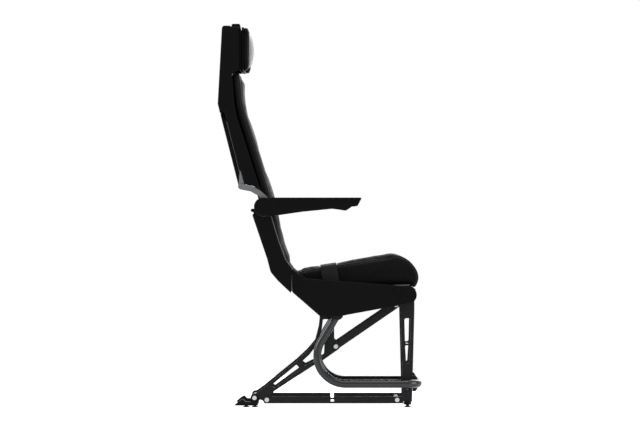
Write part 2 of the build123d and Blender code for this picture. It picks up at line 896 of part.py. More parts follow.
def spreader():
    """The machined side plate that carries the beams, the back and the armrest."""
    front = offset_line(spreader_front_edge, -spreader_lead)
    face = offset(arm_face(), -spreader_inset) + offset(skirt_face(), -spreader_lead / 2)
    face += outline([*front, armrest_pivot, *arm_root])
    face += outline(arm_knee)
    face -= offset(armrest_outline(), hub_slot_play)
    face += disc(armrest_pivot, hub_radius - cap_rim)
    face += link_face(armrest_pivot, on_arm([arm_neck])[0], arm_neck_width)
    for centre in (front_beam, rear_beam):
        face -= disc(centre, beam_radius + slip)
    face -= disc(armrest_pivot, pivot_pin_radius + slip)
    face -= disc(recline_pivot, recline_pin_radius + slip)
    face -= link_face(*seat_window, seat_window_width)
    face -= link_face(*on_arm(arm_window), arm_window_width)
    return side_extrude(face, spreader_x, spreader_x + spreader_thickness)


def hollow_cover(face):
    """A moulded cover over the spreader, open towards it, with rounded outer edges."""
    body = soft_outside(side_extrude(face, cover_x, cover_x + cover_depth), cover_edge)
    cavity = offset(face, -cover_wall)
    return body - side_extrude(cavity, cover_x, cover_x + cover_depth - cover_wall)


def spreader_cover():
    face = arm_face() - disc(armrest_pivot, hub_radius + cap_rim)
    return hollow_cover(face - offset(armrest_outline(), hub_cover_play))


def side_skirt():
    cover = hollow_cover(skirt_face())
    for centre in (front_beam, rear_beam):
        room = rod(centre, beam_radius + gap, cover_x - gap, beam_end_x + cap_rim + gap)
        cover -= room
    return cover


def skirt_caps():
    """Round screw caps on the side skirts, over the front beam's fastener."""
    low_x = cover_x + cover_depth + gap / 3
    return both(rod(skirt_cap_centre, skirt_cap_radius, low_x, low_x + skirt_cap_proud))


def pivot_pins():
    """The armrest pins, the recline pins and the recline spacers."""
    arm_pin = rod(
        armrest_pivot,
        pivot_pin_radius,
        seat_half + pin_end_cover,
        armrest_outer_x - pin_end_cover,
    )
    rail_high_x = rail_x + rail_thickness
    low_x = rail_x - recline_pin_end
    recline_pin = rod(
        recline_pivot, recline_pin_radius, low_x, spreader_x + spreader_thickness
    )
    recline_pin += rod(recline_pivot, spacer_radius, rail_high_x + gap, spreader_x)
    recline_pin += rod(recline_pivot, spacer_radius, low_x, rail_x - gap)
    return both(Compound([arm_pin.solid(), recline_pin.solid()]))


# Armrests
def armrest_outline():
    """The armrest's side view: a flat top, finger scoops below, and a round hub."""
    under = [(armrest_tip_y + y, armrest_top_z - z) for y, z in armrest_under]
    ends = [
        (armrest_pivot[0], armrest_pivot[1] - hub_radius),
        (armrest_pivot[0], armrest_top_z),
    ]
    return outline([*under, *ends], [*armrest_under_rounds, 0, 0]) + disc(
        armrest_pivot, hub_radius
    )


def armrest_body():
    """The armrest's moulded body, forked at the hub round the spreader."""
    body = side_extrude(armrest_outline(), seat_half, armrest_outer_x)
    slot = rod(
        armrest_pivot,
        hub_slot_radius,
        spreader_x - hub_slot_play,
        spreader_x + spreader_thickness + hub_slot_play,
    )
    return soft_sides(body, armrest_edge) - slot


def above_split(low_z):
    """The space above a height, over the right half of the seat."""
    reach = 2 * armrest_outer_x
    return block(0, reach, -reach, reach, low_z, armrest_top_z + reach)


def armrest_shell(with_button):
    """The armrest's hard body with its hub, and a bore for the button in one of them."""
    hub = rod(armrest_pivot, hub_radius + gap, seat_half, armrest_outer_x)
    shell = armrest_body() - (above_split(armrest_top_z - armrest_pad) - hub)
    shell -= rod(
        armrest_pivot,
        pivot_pin_radius + slip,
        seat_half + pin_end_cover - gap,
        armrest_outer_x - pin_end_cover + gap,
    )
    if with_button:
        room = button_depth + button_travel + gap
        shell -= rod(button_centre, button_radius + gap, seat_half, seat_half + room)
    return shell


def armrest_cap():
    """The soft-touch strip along the armrest's top."""
    cap = armrest_body() & above_split(armrest_top_z - armrest_pad + gap)
    return cap - rod(armrest_pivot, hub_radius + 2 * gap, 0, armrest_outer_x)


def recline_button():
    """The push button on the inner face of the armrest."""
    face_x = seat_half - button_proud
    return rod(button_centre, button_radius, face_x, seat_half + button_depth)


# Seat pan and cushion
def pan_z(y):
    """Height of the pan's top face."""
    share = (y - front_beam[0]) / (pan_rear[0] - front_beam[0])
    return pan_front_z + (pan_rear[1] - pan_front_z) * share


def seat_pan():
    """A pressed pan with turned-down side flanges."""
    front_y = front_beam[0] - pan_nose
    floor = plate(
        [
            (front_y, pan_z(front_y)),
            pan_rear,
            (pan_rear[0], pan_rear[1] - pan_thickness),
            (front_y, pan_z(front_y) - pan_thickness),
        ],
        -cushion_half,
        cushion_half,
    )
    start_y = front_beam[0] + flange_start
    flange = plate(
        [
            (start_y, pan_z(start_y)),
            pan_rear,
            (pan_rear[0], pan_rear[1] - flange_depth[1]),
            (start_y, pan_z(start_y) - flange_depth[0]),
        ],
        cushion_half - pan_thickness,
        cushion_half,
        [0, 0, flange_corner, flange_corner],
    )
    return (floor + flange + mirrored(flange)).solid()


def pan_saddles():
    """Blocks that seat the pan on the two beams."""
    saddles = []
    for centre, reach in ((rear_beam, saddle_rear_reach), (front_beam, pan_nose)):
        y_low, y_high = centre[0] - reach, centre[0] + saddle_rear_reach
        face = outline(
            [
                (y_low, centre[1] + saddle_rear_reach),
                (y_low, pan_z(y_low) - pan_thickness),
                (y_high, pan_z(y_high) - pan_thickness),
                (y_high, centre[1] + saddle_rear_reach),
            ]
        )
        face -= disc(centre, beam_radius)
        saddles += side_extrude(face, saddle_x - saddle_half, saddle_x + saddle_half).solids()
    return both(Compound(saddles))


def front_beam_cover():
    """Moulded sleeves that close the front beam between the legs and side frames."""
    outer_radius = beam_radius + sleeve_wall
    face = disc(front_beam, outer_radius) - disc(front_beam, beam_radius + gap)
    width = outer_radius + sleeve_reach
    keep_y = front_beam[0] + sleeve_reach - width / 2
    face &= Pos(keep_y, front_beam[1] - sleeve_reach) * Rectangle(width, 2 * outer_radius)
    lip_y = front_beam[0] - outer_radius + sleeve_lip_set_in
    lip = [
        (lip_y, front_beam[1]),
        (lip_y, sleeve_lip_z),
        (lip_y + sleeve_lip, sleeve_lip_z),
        (lip_y + sleeve_lip, front_beam[1]),
    ]
    lip_face = outline(lip, [0, sleeve_lip_round, sleeve_lip_round, 0])
    face += lip_face - disc(front_beam, beam_radius + gap)
    play = cap_rim / 2
    inner_x = leg_high_x + cap_plug
    spans = [
        (-leg_low_x + play, leg_low_x - play),
        (inner_x, spreader_x - play),
        (-spreader_x + play, -inner_x),
    ]
    return Compound([side_extrude(face, a, b).solid() for a, b in spans])


def cushion_slope():
    """How much the cushion's top falls towards the back, in radians."""
    rise = cushion_top_front[1] - cushion_top_rear[1]
    return math.atan2(rise, cushion_top_rear[0] - cushion_top_front[0])


def dish_half():
    return cushion_half - cushion_rim


def dish_radius():
    return (dish_half() ** 2 + cushion_dish**2) / (2 * cushion_dish)


def seat_cushion():
    """The bottom cushion: a rounded nose, and a top dished across the seat."""
    pan_front_y = front_beam[0] - pan_nose
    seat_front = (pan_front_y, pan_z(pan_front_y) + gap)
    seat_rear = (pan_rear[0], pan_rear[1] + gap)
    lines = [
        Line(cushion_top_rear, cushion_top_front),
        ThreePointArc(cushion_top_front, cushion_nose_high, cushion_nose),
        ThreePointArc(cushion_nose, cushion_nose_low, cushion_crease),
        Line(cushion_crease, seat_front),
        Line(seat_front, seat_rear),
        Line(seat_rear, cushion_rear),
        Line(cushion_rear, cushion_top_rear),
    ]
    side = make_face(Wire([e for line in lines for e in line.edges()]))
    body = soft_sides(side_extrude(side, -cushion_half, cushion_half), cushion_edge)
    slope = cushion_slope()
    along = Vector(0, math.cos(slope), -math.sin(slope))
    up = Vector(0, math.sin(slope), math.cos(slope))
    length = 2 * (cushion_top_rear[0] - cushion_nose[0])
    start = Vector(0, *cushion_top_front) + up * (dish_radius() - cushion_dish)
    tool = Plane(origin=start, z_dir=along) * Circle(dish_radius())
    return body - extrude(tool, amount=length, both=True)


# Lap belt
def belt_frame():
    """A frame on the cushion: x across, y up off the cushion, z along it."""
    rear_y, rear_z = cushion_top_rear
    slope = cushion_slope()
    origin = Vector(0, belt_along, rear_z + (rear_y - belt_along) * math.tan(slope))
    along = Vector(0, -math.cos(slope), math.sin(slope))
    return Plane(origin=origin, x_dir=(1, 0, 0), z_dir=along)


def dish_height(x):
    """How far the dished top lies below the cushion's edge at x."""
    if abs(x) >= dish_half():
        return 0.0
    return math.sqrt(dish_radius() ** 2 - x**2) - (dish_radius() - cushion_dish)


def belt_floor():
    """Height of the buckle's underside above the undished cushion."""
    return -dish_height(buckle_x) + buckle_lift


def webbing(bar):
    """One half of the belt: from its anchor, up beside the cushion, to its end bar."""
    x_on = bar[0] + belt_rise
    run = dish_half() - x_on
    count = round(run / belt_step)
    xs = [x_on + run * i / count for i in range(count + 1)]
    points = [(bar[0] + gap, bar[1])]
    points += [(x, -dish_height(x) + belt_lift) for x in xs]
    points += [(belt_x, belt_lift), (belt_x, -belt_end_drop)]
    rounds = [webbing_round] + [0.0] * (len(xs) - 1) + [roll_radius]
    line = FilletPolyline(*points, radius=rounds)
    strip = trace(line, line_width=webbing_thickness)
    strip += Pos(*bar) * Circle(roll_radius)
    strip -= Pos(*bar) * Rectangle(roll_bar[0] + 2 * gap, roll_bar[1] + 2 * gap)
    return extrude(belt_frame() * strip, amount=webbing_width / 2, both=True).solid()


def belt_anchors():
    """Shackles that hold the belt's ends to the side frames."""
    frame = belt_frame()
    top = -belt_end_drop - gap
    base = Pos(belt_x, top - anchor_height / 2) * Rectangle(anchor_thickness, anchor_height)
    foot_z = top - anchor_height + anchor_foot / 2
    foot = Pos((belt_x + spreader_x) / 2, foot_z) * Rectangle(
        spreader_x - belt_x - 2 * gap, anchor_foot
    )
    shackle = extrude(frame * base, amount=anchor_half, both=True)
    shackle += extrude(frame * foot, amount=anchor_half / 2, both=True)
    return both(shackle.solid())


def belt_slab(x_low, x_high, y_low, y_high, half_low, half_high):
    """A block in the belt's frame; half_low to half_high is along the belt's width."""
    face = Pos((x_low + x_high) / 2, (y_low + y_high) / 2) * Rectangle(
        x_high - x_low, y_high - y_low
    )
    frame = belt_frame()
    if half_low <= 0:
        return extrude(frame * face, amount=half_high, both=True)
    slabs = [
        Pos(frame.z_dir * half_low) * extrude(frame * face, amount=half_high - half_low),
        Pos(frame.z_dir * -half_high) * extrude(frame * face, amount=half_high - half_low),
    ]
    return slabs[0] + slabs[1]


def buckle_body():
    """The lift-lever buckle's channel: a floor, two walls and an adjuster bar."""
    floor = belt_floor()
    half = buckle_width / 2
    wall_in = half - buckle_wall
    end = buckle_x + roll_bar[0] / 2
    floor_end = buckle_x - buckle_open
    body = belt_slab(buckle_nose, floor_end, floor, floor + buckle_plate, 0, half)
    body += belt_slab(
        buckle_nose + roll_bar[0], end, floor, floor + buckle_rail, wall_in, half
    )
    pin_x, pin_y = buckle_pin
    ear_low, ear_high = pin_x - buckle_ear[0], pin_x + buckle_ear[1]
    ear_top = floor + buckle_height - knuckle_play
    body += belt_slab(ear_low, ear_high, floor, ear_top, wall_in, half)
    bar_y = buckle_bar()[1]
    half_bar = roll_bar[1] / 2
    bar_low = buckle_x - roll_bar[0] / 2
    body += belt_slab(bar_low, end, bar_y - half_bar, bar_y + half_bar, 0, half)
    pin = Pos(pin_x, floor + pin_y) * Circle(buckle_pin_radius)
    body += extrude(belt_frame() * pin, amount=half, both=True)
    return body.solid()


def buckle_bar():
    return (buckle_x, belt_floor() + buckle_bar_rise)


def buckle_lever():
    """The buckle's lid, hinged near the adjuster bar and free over the tongue."""
    floor = belt_floor()
    pin_x, pin_y = buckle_pin
    top = floor + buckle_height
    lip_x = buckle_nose - lid_skin
    heel_x = pin_x - lid_knuckle + knuckle_play
    face = outline(
        [
            (heel_x, top),
            (lip_x, top),
            (lip_x, top - lid_knuckle),
            (lip_x + lid_skin, top - lid_knuckle),
            (lip_x + 2 * lid_skin, top - lid_skin),
            (heel_x - lid_skin, top - lid_skin),
            (heel_x, floor + pin_y - lid_knuckle / 2),
            (pin_x, floor + pin_y),
        ],
        [1.5, 1.0, 0.8, 0.5, 1.0, 1.0, 0, 0],
    )
    face += Pos(pin_x, floor + pin_y) * Circle(lid_knuckle)
    face -= Pos(pin_x, floor + pin_y) * Circle(buckle_pin_radius + slip)
    lid_half = buckle_width / 2 - buckle_wall - gap
    return extrude(belt_frame() * face, amount=lid_half, both=True).solid()


def tongue_bar():
    return (tongue_x, belt_floor() + tongue_rise)


def belt_tongue():
    """The metal tongue, with a slot for the right webbing's loop."""
    y = tongue_bar()[1]
    half_thick = roll_bar[1] / 2
    half = buckle_width / 2 - buckle_wall - tongue_play
    outer = tongue_x - roll_bar[0] / 2
    tongue = belt_slab(outer, 0.0, y - half_thick, y + half_thick, 0, half)
    slot_low = tongue_x + roll_bar[0] / 2
    slot_half = webbing_width / 2 + gap
    tongue -= belt_slab(
        slot_low, slot_low + tongue_slot, y - roll_bar[1], y + roll_bar[1], 0, slot_half
    )
    return tongue.solid()


# Recline lock
def lock_line():
    """Length and lean of the line between the lock's two pins."""
    run = Vector(lever_pin[0] - lock_mount[0], lever_pin[1] - lock_mount[1])
    return run.length, math.degrees(math.atan2(run.Y, run.X))


def on_lock_line(distance):
    """A point on the lock's line, by its distance from the front pin."""
    lean = math.radians(lock_line()[1])
    return (
        lock_mount[0] + distance * math.cos(lean),
        lock_mount[1] + distance * math.sin(lean),
    )


def lock_bar(radius, low, high):
    """A round bar along the lock's line."""
    middle = on_lock_line((low + high) / 2)
    place = Pos(lock_x, *middle) * Rot(lock_line()[1] - 90, 0, 0)
    return place * Cylinder(radius, high - low)


def lock_cylinder():
    """The lock's barrel, with an eye on its front mount."""
    eye = link_face(lock_mount, on_lock_line(lock_start + slip), lock_start)
    eye += disc(lock_mount, lug_radius)
    eye -= disc(lock_mount, lever_pin_radius + slip)
    half = lug_thickness / 2
    high = lock_start + lock_length
    barrel = lock_bar(lock_radius, lock_start, high)
    barrel += side_extrude(eye, lock_x - half, lock_x + half)
    bore = lock_bar(lock_rod_radius + slip, lock_bore_start, high + lock_start)
    return (barrel - bore).solid()


def lock_rod():
    """The lock's rod, with a loose eye on the back's lever pin."""
    bore_radius = lever_pin_radius + rod_eye_play
    eye = disc(lever_pin, lug_radius) - disc(lever_pin, bore_radius)
    shaft_end = lock_line()[0] - (lug_radius + bore_radius) / 2
    shaft = lock_bar(lock_rod_radius, lock_rod_start, shaft_end)
    half = lug_thickness / 2
    return (shaft + side_extrude(eye, lock_x - half, lock_x + half)).solid()


def pin_and_ears(face, pin):
    """Two ears with the lock's eye between them, and the pin through all three."""
    inner = lug_thickness / 2 + gap
    outer = inner + ear_thickness
    ears = side_extrude(face, lock_x + inner, lock_x + outer)
    ears += side_extrude(face, lock_x - outer, lock_x - inner)
    return ears + rod(pin, lever_pin_radius, lock_x - outer, lock_x + outer)


def lock_bracket():
    """Two ears off the front beam that hold the lock's front pin."""
    face = link_face(front_beam, lock_mount, 2 * lug_radius)
    face += disc(front_beam, beam_radius + sleeve_wall)
    face -= disc(front_beam, beam_radius + slip)
    keep = lock_mount[0] - front_beam[0]
    low_y = front_beam[0] + sleeve_reach + gap
    face &= Pos(low_y + keep / 2, front_beam[1]) * Rectangle(keep, 2 * keep)
    return pin_and_ears(face, lock_mount).solid()


# Back frame
def back_offset(distance):
    return offset_line(back_face, distance)


def rail_point(z):
    """The middle of a back rail at a height."""
    return at_height(back_offset(rail_set_back + rail_depth / 2), z)


def back_rail():
    """One side member of the back frame, from the recline pin to the crown."""
    line = [*back_face, back_crown]
    rounds = [*back_face_rounds, back_crown_round]
    face = strip_face(line, rounds, rail_set_back, rail_set_back + rail_depth)
    face += disc(recline_pivot, recline_eye_radius)
    foot = rail_point(back_z(rail_foot_drawn_z))
    face += link_face(recline_pivot, foot, rail_foot_width)
    face -= disc(recline_pivot, recline_pin_radius + slip)
    for z in crossbar_heights:
        face -= disc(rail_point(z), crossbar_radius + slip)
    return side_extrude(face, rail_x, rail_x + rail_thickness)


def lock_lever_face():
    """The lever that hangs from the lowest crossbar to the lock's rear pin."""
    face = link_face(rail_point(crossbar_heights[0]), lever_pin, lever_width)
    return face + disc(lever_pin, lug_radius)


def back_crossbars():
    """The tubes between the rails, with the lock's lever on the lowest."""
    end_x = rail_x + rail_thickness
    low, *others = [
        rod(rail_point(z), crossbar_radius, -end_x, end_x) for z in crossbar_heights
    ]
    low += pin_and_ears(lock_lever_face(), lever_pin)
    return Compound([bar.solid() for bar in (low, *others)])


def back_cushion():
    """The back pad, from behind the seat cushion up to the headrest."""
    face = strip_face(back_face, back_face_rounds, 0.0, back_pad)
    pad = side_extrude(face, -back_cushion_half, back_cushion_half)
    return soft_sides(pad, back_pad_edge)


# Shells of the back
def rear_point(z):
    """A point of the upper back's rear face above the kink."""
    kink = kink_point()
    share = (z - kink_z) / (back_top_z - kink_z)
    return (kink[0] + (back_top_y - kink[0]) * share, z)


def kink_point():
    """Where the table's rear face meets the upright part of the back."""
    along = (kink_z - table_hinge[1]) / math.cos(math.radians(table_tilt))
    return (leaf_point(along, leaf_thickness / 2)[0], kink_z)


def recess_point(along):
    """A point of the recess that the table lies in."""
    return leaf_point(along, -leaf_thickness / 2 - table_rail_depth - table_play)


def recess_panel():
    """The panel that stands out of the recess, close behind the stowed leaf."""
    low, high = 2 * table_knuckle, leaf_length + leaf_top_play + wall
    half = leaf_half - table_rail_width - table_play
    solids = []
    for inset in (0.0, wall):
        out = -leaf_thickness / 2 - leaf_panel_play - inset
        inner = out - table_rail_depth - table_play
        start, end = low + inset, high - inset
        corners = [(start, inner), (end, inner), (end, out), (start, out)]
        solids.append(plate([leaf_point(*c) for c in corners], inset - half, half - inset))
    return solids


def rail_ribs(drawn_spans, far):
    """Ribs from a shell's inner side to the back rails, at each span of heights."""
    near = back_offset(rail_set_back + rail_depth + gap)
    ribs = []
    for span in drawn_spans:
        z_low, z_high = back_z(span[0]), back_z(span[1])
        points = [at_height(near, z_low), far(z_low), far(z_high), at_height(near, z_high)]
        rib = plate(points, rail_x, rail_x + rail_thickness)
        ribs += [rib, mirrored(rib)]
    return ribs


def shell_side():
    """The upper shell's side wall, seen from the side."""
    front = between(
        back_offset(back_pad + gap), back_z(upper_front_z[0]), back_z(upper_front_z[1])
    )
    step_z = back_z(upper_step_z)
    chin = on_back(upper_chin)
    near = -leaf_thickness / 2 - leaf_side_play
    points = [
        recess_point(shell_side_low),
        recess_point(cheek_length + table_play),
        leaf_point(cheek_length + table_knuckle + table_play, near),
        leaf_point(leaf_length + leaf_top_play, near),
        leaf_point(leaf_length + leaf_top_play, leaf_thickness / 2),
        kink_point(),
        rear_point(back_top_z),
        (upper_front_y, back_top_z - upper_top_drop),
        (upper_front_y, step_z),
        *reversed(front),
        *chin,
    ]
    flat = [0.0] * (len(front) - 1)
    return outline(points, [*shell_side_rounds, *flat, *upper_chin_rounds])


def shell_rear():
    """The stepped rear wall and the top cap, seen from the side."""
    step_low, step_high = rear_point(pocket_low_z), rear_point(pocket_high_z)
    top = rear_point(back_top_z)
    ledge_in = recess_point(leaf_length + leaf_top_play)
    ledge_out = leaf_point(leaf_length + leaf_top_play, leaf_thickness / 2)
    low_in = recess_point(2 * table_knuckle)
    kink = kink_point()
    outer = [low_in, ledge_in, ledge_out, kink, step_low]
    outer += [(step_low[0] - pocket_depth, step_low[1])]
    outer += [(step_high[0] - pocket_depth, step_high[1]), step_high, top]
    inner = [
        (upper_cap_y, back_top_z),
        (upper_cap_y, back_top_z - wall),
        (top[0] - wall, back_top_z - wall),
        (step_high[0] - wall, step_high[1] + wall),
        (step_high[0] - pocket_depth - wall, step_high[1] + wall),
        (step_low[0] - pocket_depth - wall, step_low[1] - wall),
        (step_low[0] - wall, step_low[1] - wall),
        (kink[0] - wall, kink[1]),
        (ledge_out[0] - wall, ledge_out[1] + wall),
        (ledge_in[0] - wall, ledge_in[1] + wall),
        (low_in[0] - wall, low_in[1]),
    ]
    rounds = [1, 1, 2, 4, 0, 0, 0, 0, upper_cap_round, 0, 0, upper_cap_round - wall]
    return outline([*outer, *inner], rounds + [0] * (len(outer) + len(inner) - len(rounds)))


def upper_shell():
    """The moulded rear shell: side walls, a stepped rear wall and a top cap."""
    inner_x = back_half - wall
    side = side_extrude(shell_side(), inner_x, back_half)
    side = soft_outside(side, shell_edge)
    rear = side_extrude(shell_rear(), -inner_x, inner_x)
    step_low, step_high = rear_point(pocket_low_z), rear_point(pocket_high_z)
    end_wall = plate(
        [
            (step_low[0] - pocket_depth - wall, step_low[1] - wall),
            step_low,
            step_high,
            (step_high[0] - pocket_depth - wall, step_high[1] + wall),
        ],
        pocket_half + gap,
        inner_x,
    )
    rear += [end_wall, mirrored(end_wall)]
    panel, hollow = recess_panel()
    rear = rear + panel - hollow
    low_z = recess_point(leaf_length + leaf_top_play)[1]
    half, top_z = latch_bay_half, latch_z + latch_bay_above
    rear += block(
        -half - wall, half + wall, latch_bay_y - wall, step_low[0] - wall, low_z, top_z + wall
    )
    outside = back_top_y + latch_bay_half
    rear -= block(-half, half, latch_bay_y, outside, low_z - latch_bay_above, top_z)
    spindle = Cylinder(latch_spindle_radius + slip, 4 * wall + 2 * slip)
    rear -= Pos(0, latch_bay_y, latch_z) * Rot(90, 0, 0) * spindle

    def recess_wall(z):
        along = (z - table_hinge[1]) / math.cos(math.radians(table_tilt))
        return (recess_point(along)[0] - wall / 2, z)

    shell = rear + [side, mirrored(side), *rail_ribs(upper_rib_spans, recess_wall)]
    return shell.solid()


def literature_pocket():
    """The panel across the upper shell's recess, open along its top edge."""
    low, lip = rear_point(pocket_low_z), rear_point(pocket_lip_z)
    face = outline(
        [
            (low[0], low[1] + gap),
            (lip[0], lip[1]),
            (lip[0] - wall, lip[1]),
            (low[0] - wall, low[1] + wall),
            (low[0] - pocket_depth, low[1] + wall),
            (low[0] - pocket_depth, low[1] + gap),
        ],
        [1.5, 1.4, 1.4, 2, 0, 0],
    )
    return side_extrude(face, -pocket_half, pocket_half)


def lower_shell():
    """The kick panel behind the sitter's lower back, with a beaded top edge."""
    half = back_half - wall / 3
    skin = strip_face(kick_edge, kick_rounds, -kick_set_in - wall, -kick_set_in)
    flange = strip_face(kick_edge, kick_rounds, -kick_flange - kick_set_in, -kick_set_in)
    side = soft_outside(side_extrude(flange, half - wall, half), shell_edge)
    bead = rod(on_back([kick_bead])[0], kick_bead_radius, -half, half)
    inner = offset_line(kick_edge, -kick_set_in - wall / 2)
    ribs = rail_ribs(kick_rib_spans, lambda z: at_height(inner, z))
    panel = side_extrude(skin, wall - half, half - wall)
    return (panel + [side, mirrored(side), bead, *ribs]).solid()


def table_brackets():
    """The grey arms that carry the table's hinge, bolted to the back rails."""
    joints = [*bracket_line, table_hinge]
    parts = [link_face(a, b, bracket_width) for a, b in zip(joints, joints[1:])]
    face = parts[0] + parts[1:]
    bracket = side_extrude(face, bracket_x, bracket_x + bracket_thickness)
    boss_low = rail_x + rail_thickness + gap
    bracket += rod(bracket_bolt, bracket_boss_radius, boss_low, bracket_x)
    pin_room = rod(table_hinge, table_pin_radius + slip, boss_low, armrest_outer_x)
    return both((bracket - pin_room).solid())


def guide_panel():
    """The plate behind the headrest, with slots open at the top for its posts."""
    low_z, high_z = headrest_low_z + wall, back_top_z - 2 * upper_top_drop
    half = back_half - wall - gap
    panel = block(-half, half, guide_y, guide_y + guide_wall, low_z, high_z)
    slot_low = headrest_low_z + post_drop - post_play
    slot_half = post_width / 2 + post_play
    slot = block(
        post_x - slot_half,
        post_x + slot_half,
        guide_y - gap,
        guide_y + guide_wall + gap,
        slot_low,
        back_top_z,
    )
    panel -= [slot, mirrored(slot)]
    side_low = slider_half + gap
    side = block(
        side_low,
        side_low + guide_side,
        guide_y,
        guide_y + 4 * guide_wall,
        low_z + guide_wall,
        high_z - 2 * guide_wall,
    )
    rail_front = back_offset(rail_set_back - gap)[-1:]
    rail_top = (back_crown[0] + rail_set_back - gap, back_crown[1])
    rib_face = [
        (guide_y, low_z),
        at_height([*rail_front, rail_top], low_z),
        rail_top,
        (guide_y, rail_top[1]),
    ]
    rib = plate(rib_face, rail_x, rail_x + rail_thickness)
    return (panel + [side, mirrored(side), rib, mirrored(rib)]).solid()


# Table
def table_leaf():
    """The table itself, stowed against the back, with a cup recess in its top."""
    length = leaf_length + leaf_below_hinge
    face = Rectangle(2 * leaf_half, length)
    top = face.vertices().group_by(Axis.Y)[-1]
    face = fillet(top, leaf_corner)
    face = fillet(face.vertices().group_by(Axis.Y)[0], leaf_below_hinge)
    face = table_plane() * Pos(0, (leaf_length - leaf_below_hinge) / 2) * face
    leaf = extrude(face, amount=leaf_thickness / 2, both=True)
    broad = leaf.faces().sort_by(SortBy.AREA)[-2:]
    leaf = fillet([*broad[0].edges(), *broad[1].edges()], leaf_edge)
    cup = table_plane() * Pos(leaf_half - cup_from_side, cup_above_hinge) * Circle(cup_radius)
    cup_floor = leaf_thickness / 2 - cup_depth
    recess = extrude(cup, amount=-leaf_thickness) - extrude(cup, amount=-cup_floor)
    return (leaf - recess).solid()


def table_plane():
    """The leaf's middle plane: x across, y up the leaf from its hinge."""
    tilt = math.radians(table_tilt)
    out = (0, math.cos(tilt), -math.sin(tilt))
    return Plane(origin=(0, *table_hinge), x_dir=(-1, 0, 0), z_dir=out)


def table_arms():
    """The grey arms on the leaf's inner face, with knuckles and hinge pins."""
    inner = -leaf_thickness / 2 - gap
    far = inner - table_rail_depth
    rail_top = leaf_length - table_rail_short
    rail = plate(
        [
            leaf_point(table_rail_depth, inner),
            leaf_point(rail_top, inner),
            leaf_point(rail_top - table_rail_slope, far),
            leaf_point(table_rail_depth, far),
        ],
        leaf_half - table_rail_width,
        leaf_half + 2 * gap,
    )
    cheek = outline(
        [
            leaf_point(0, table_knuckle),
            leaf_point(cheek_length, inner),
            leaf_point(cheek_length, far),
            leaf_point(0, far),
        ],
        [0, 2, 2, 0],
    )
    cheek += disc(table_hinge, table_knuckle)
    cheek_low, cheek_high = leaf_half + gap, bracket_x - gap
    pin = rod(table_hinge, table_pin_radius, cheek_low, bracket_x + bracket_thickness)
    return both((rail + [side_extrude(cheek, cheek_low, cheek_high), pin]).solid())


def table_latch():
    """The turn latch in its bay above the table, shown turned aside."""
    spindle_low = latch_bay_y - wall - table_play
    spindle = Pos(0, (spindle_low + latch_face_y) / 2, latch_z) * Rot(90, 0, 0)
    spindle *= Cylinder(latch_spindle_radius, latch_face_y - spindle_low)
    tip = latch_length - latch_width / 2
    face = Pos(tip / 2, latch_z) * SlotCenterToCenter(tip, latch_width)
    face += Pos(0, latch_z) * Circle(latch_boss_radius)
    outer = latch_face_y + latch_thickness
    tongue = Pos(0, outer, 0) * extrude(Plane.XZ * face, amount=latch_thickness)
    ridge = Pos(tip / 2, latch_z) * SlotCenterToCenter(tip, latch_grip_width)
    depth = latch_grip + latch_thickness / 2
    tongue += Pos(0, outer + latch_grip, 0) * extrude(Plane.XZ * ridge, amount=depth)
    return (spindle + tongue).solid()


# Headrest
def headrest_slider():
    """The sliding plate in the guides, its posts and the grip along its top."""
    y_low = guide_y + guide_wall + table_play
    y_high = y_low + slider_thickness
    grip_low, top_z = back_top_z - 2 * wall, back_top_z + 2 * knuckle_radius
    body = block(
        -slider_half, slider_half, y_low, y_high, headrest_low_z + post_width, top_z - wall
    )
    front_y, rear_y = guide_y + wall, guide_y + wall + slider_grip_depth
    grip_face = [(front_y, grip_low), (front_y, top_z), (rear_y, top_z), (rear_y, grip_low)]
    rounds = [0, slider_grip_round, slider_grip_round, 0]
    body += plate(grip_face, -slider_grip_half, slider_grip_half, rounds)
    post_z = headrest_low_z + post_drop
    post = block(
        post_x - post_width / 2,
        post_x + post_width / 2,
        headrest_back_y,
        y_high,
        post_z,
        post_z + post_height,
    )
    return (body + [post, mirrored(post)]).solid()


def hinge_part(z_low, z_high, x_plate):
    """A knuckle on a wing's hinge line, and the web that ties it to a plate."""
    middle_y = headrest_back_y - wing_plate / 2
    x_low, x_high = sorted((headrest_centre_half, x_plate))
    knuckle = cylinder_at(headrest_centre_half, middle_y, z_low, z_high, knuckle_radius)
    web_y = headrest_back_y - wing_plate + knuckle_play
    web = block(x_low, x_high, web_y, headrest_back_y - knuckle_play, z_low, z_high)
    return knuckle + web


def wing_plate_heights():
    """The plates' foot and top, and a third of their height."""
    low_z, high_z = headrest_low_z + table_play, headrest_high_z - table_play
    return low_z, high_z, (high_z - low_z) / 3


def headrest_core():
    """The rigid centre plate with the wing hinges' pins."""
    low_z, high_z, third = wing_plate_heights()
    half = headrest_centre_half - knuckle_radius - knuckle_play
    plate_y = headrest_back_y - wing_plate
    core = block(-half, half, plate_y, headrest_back_y, low_z, high_z)
    middle_y = headrest_back_y - wing_plate / 2
    pin = cylinder_at(headrest_centre_half, middle_y, low_z, high_z, wing_pin_radius)
    for z in (low_z, high_z - third + knuckle_play):
        part = hinge_part(z, z + third - knuckle_play, half - knuckle_play)
        core += [part, mirrored(part)]
    return (core + [pin, mirrored(pin)]).solid()


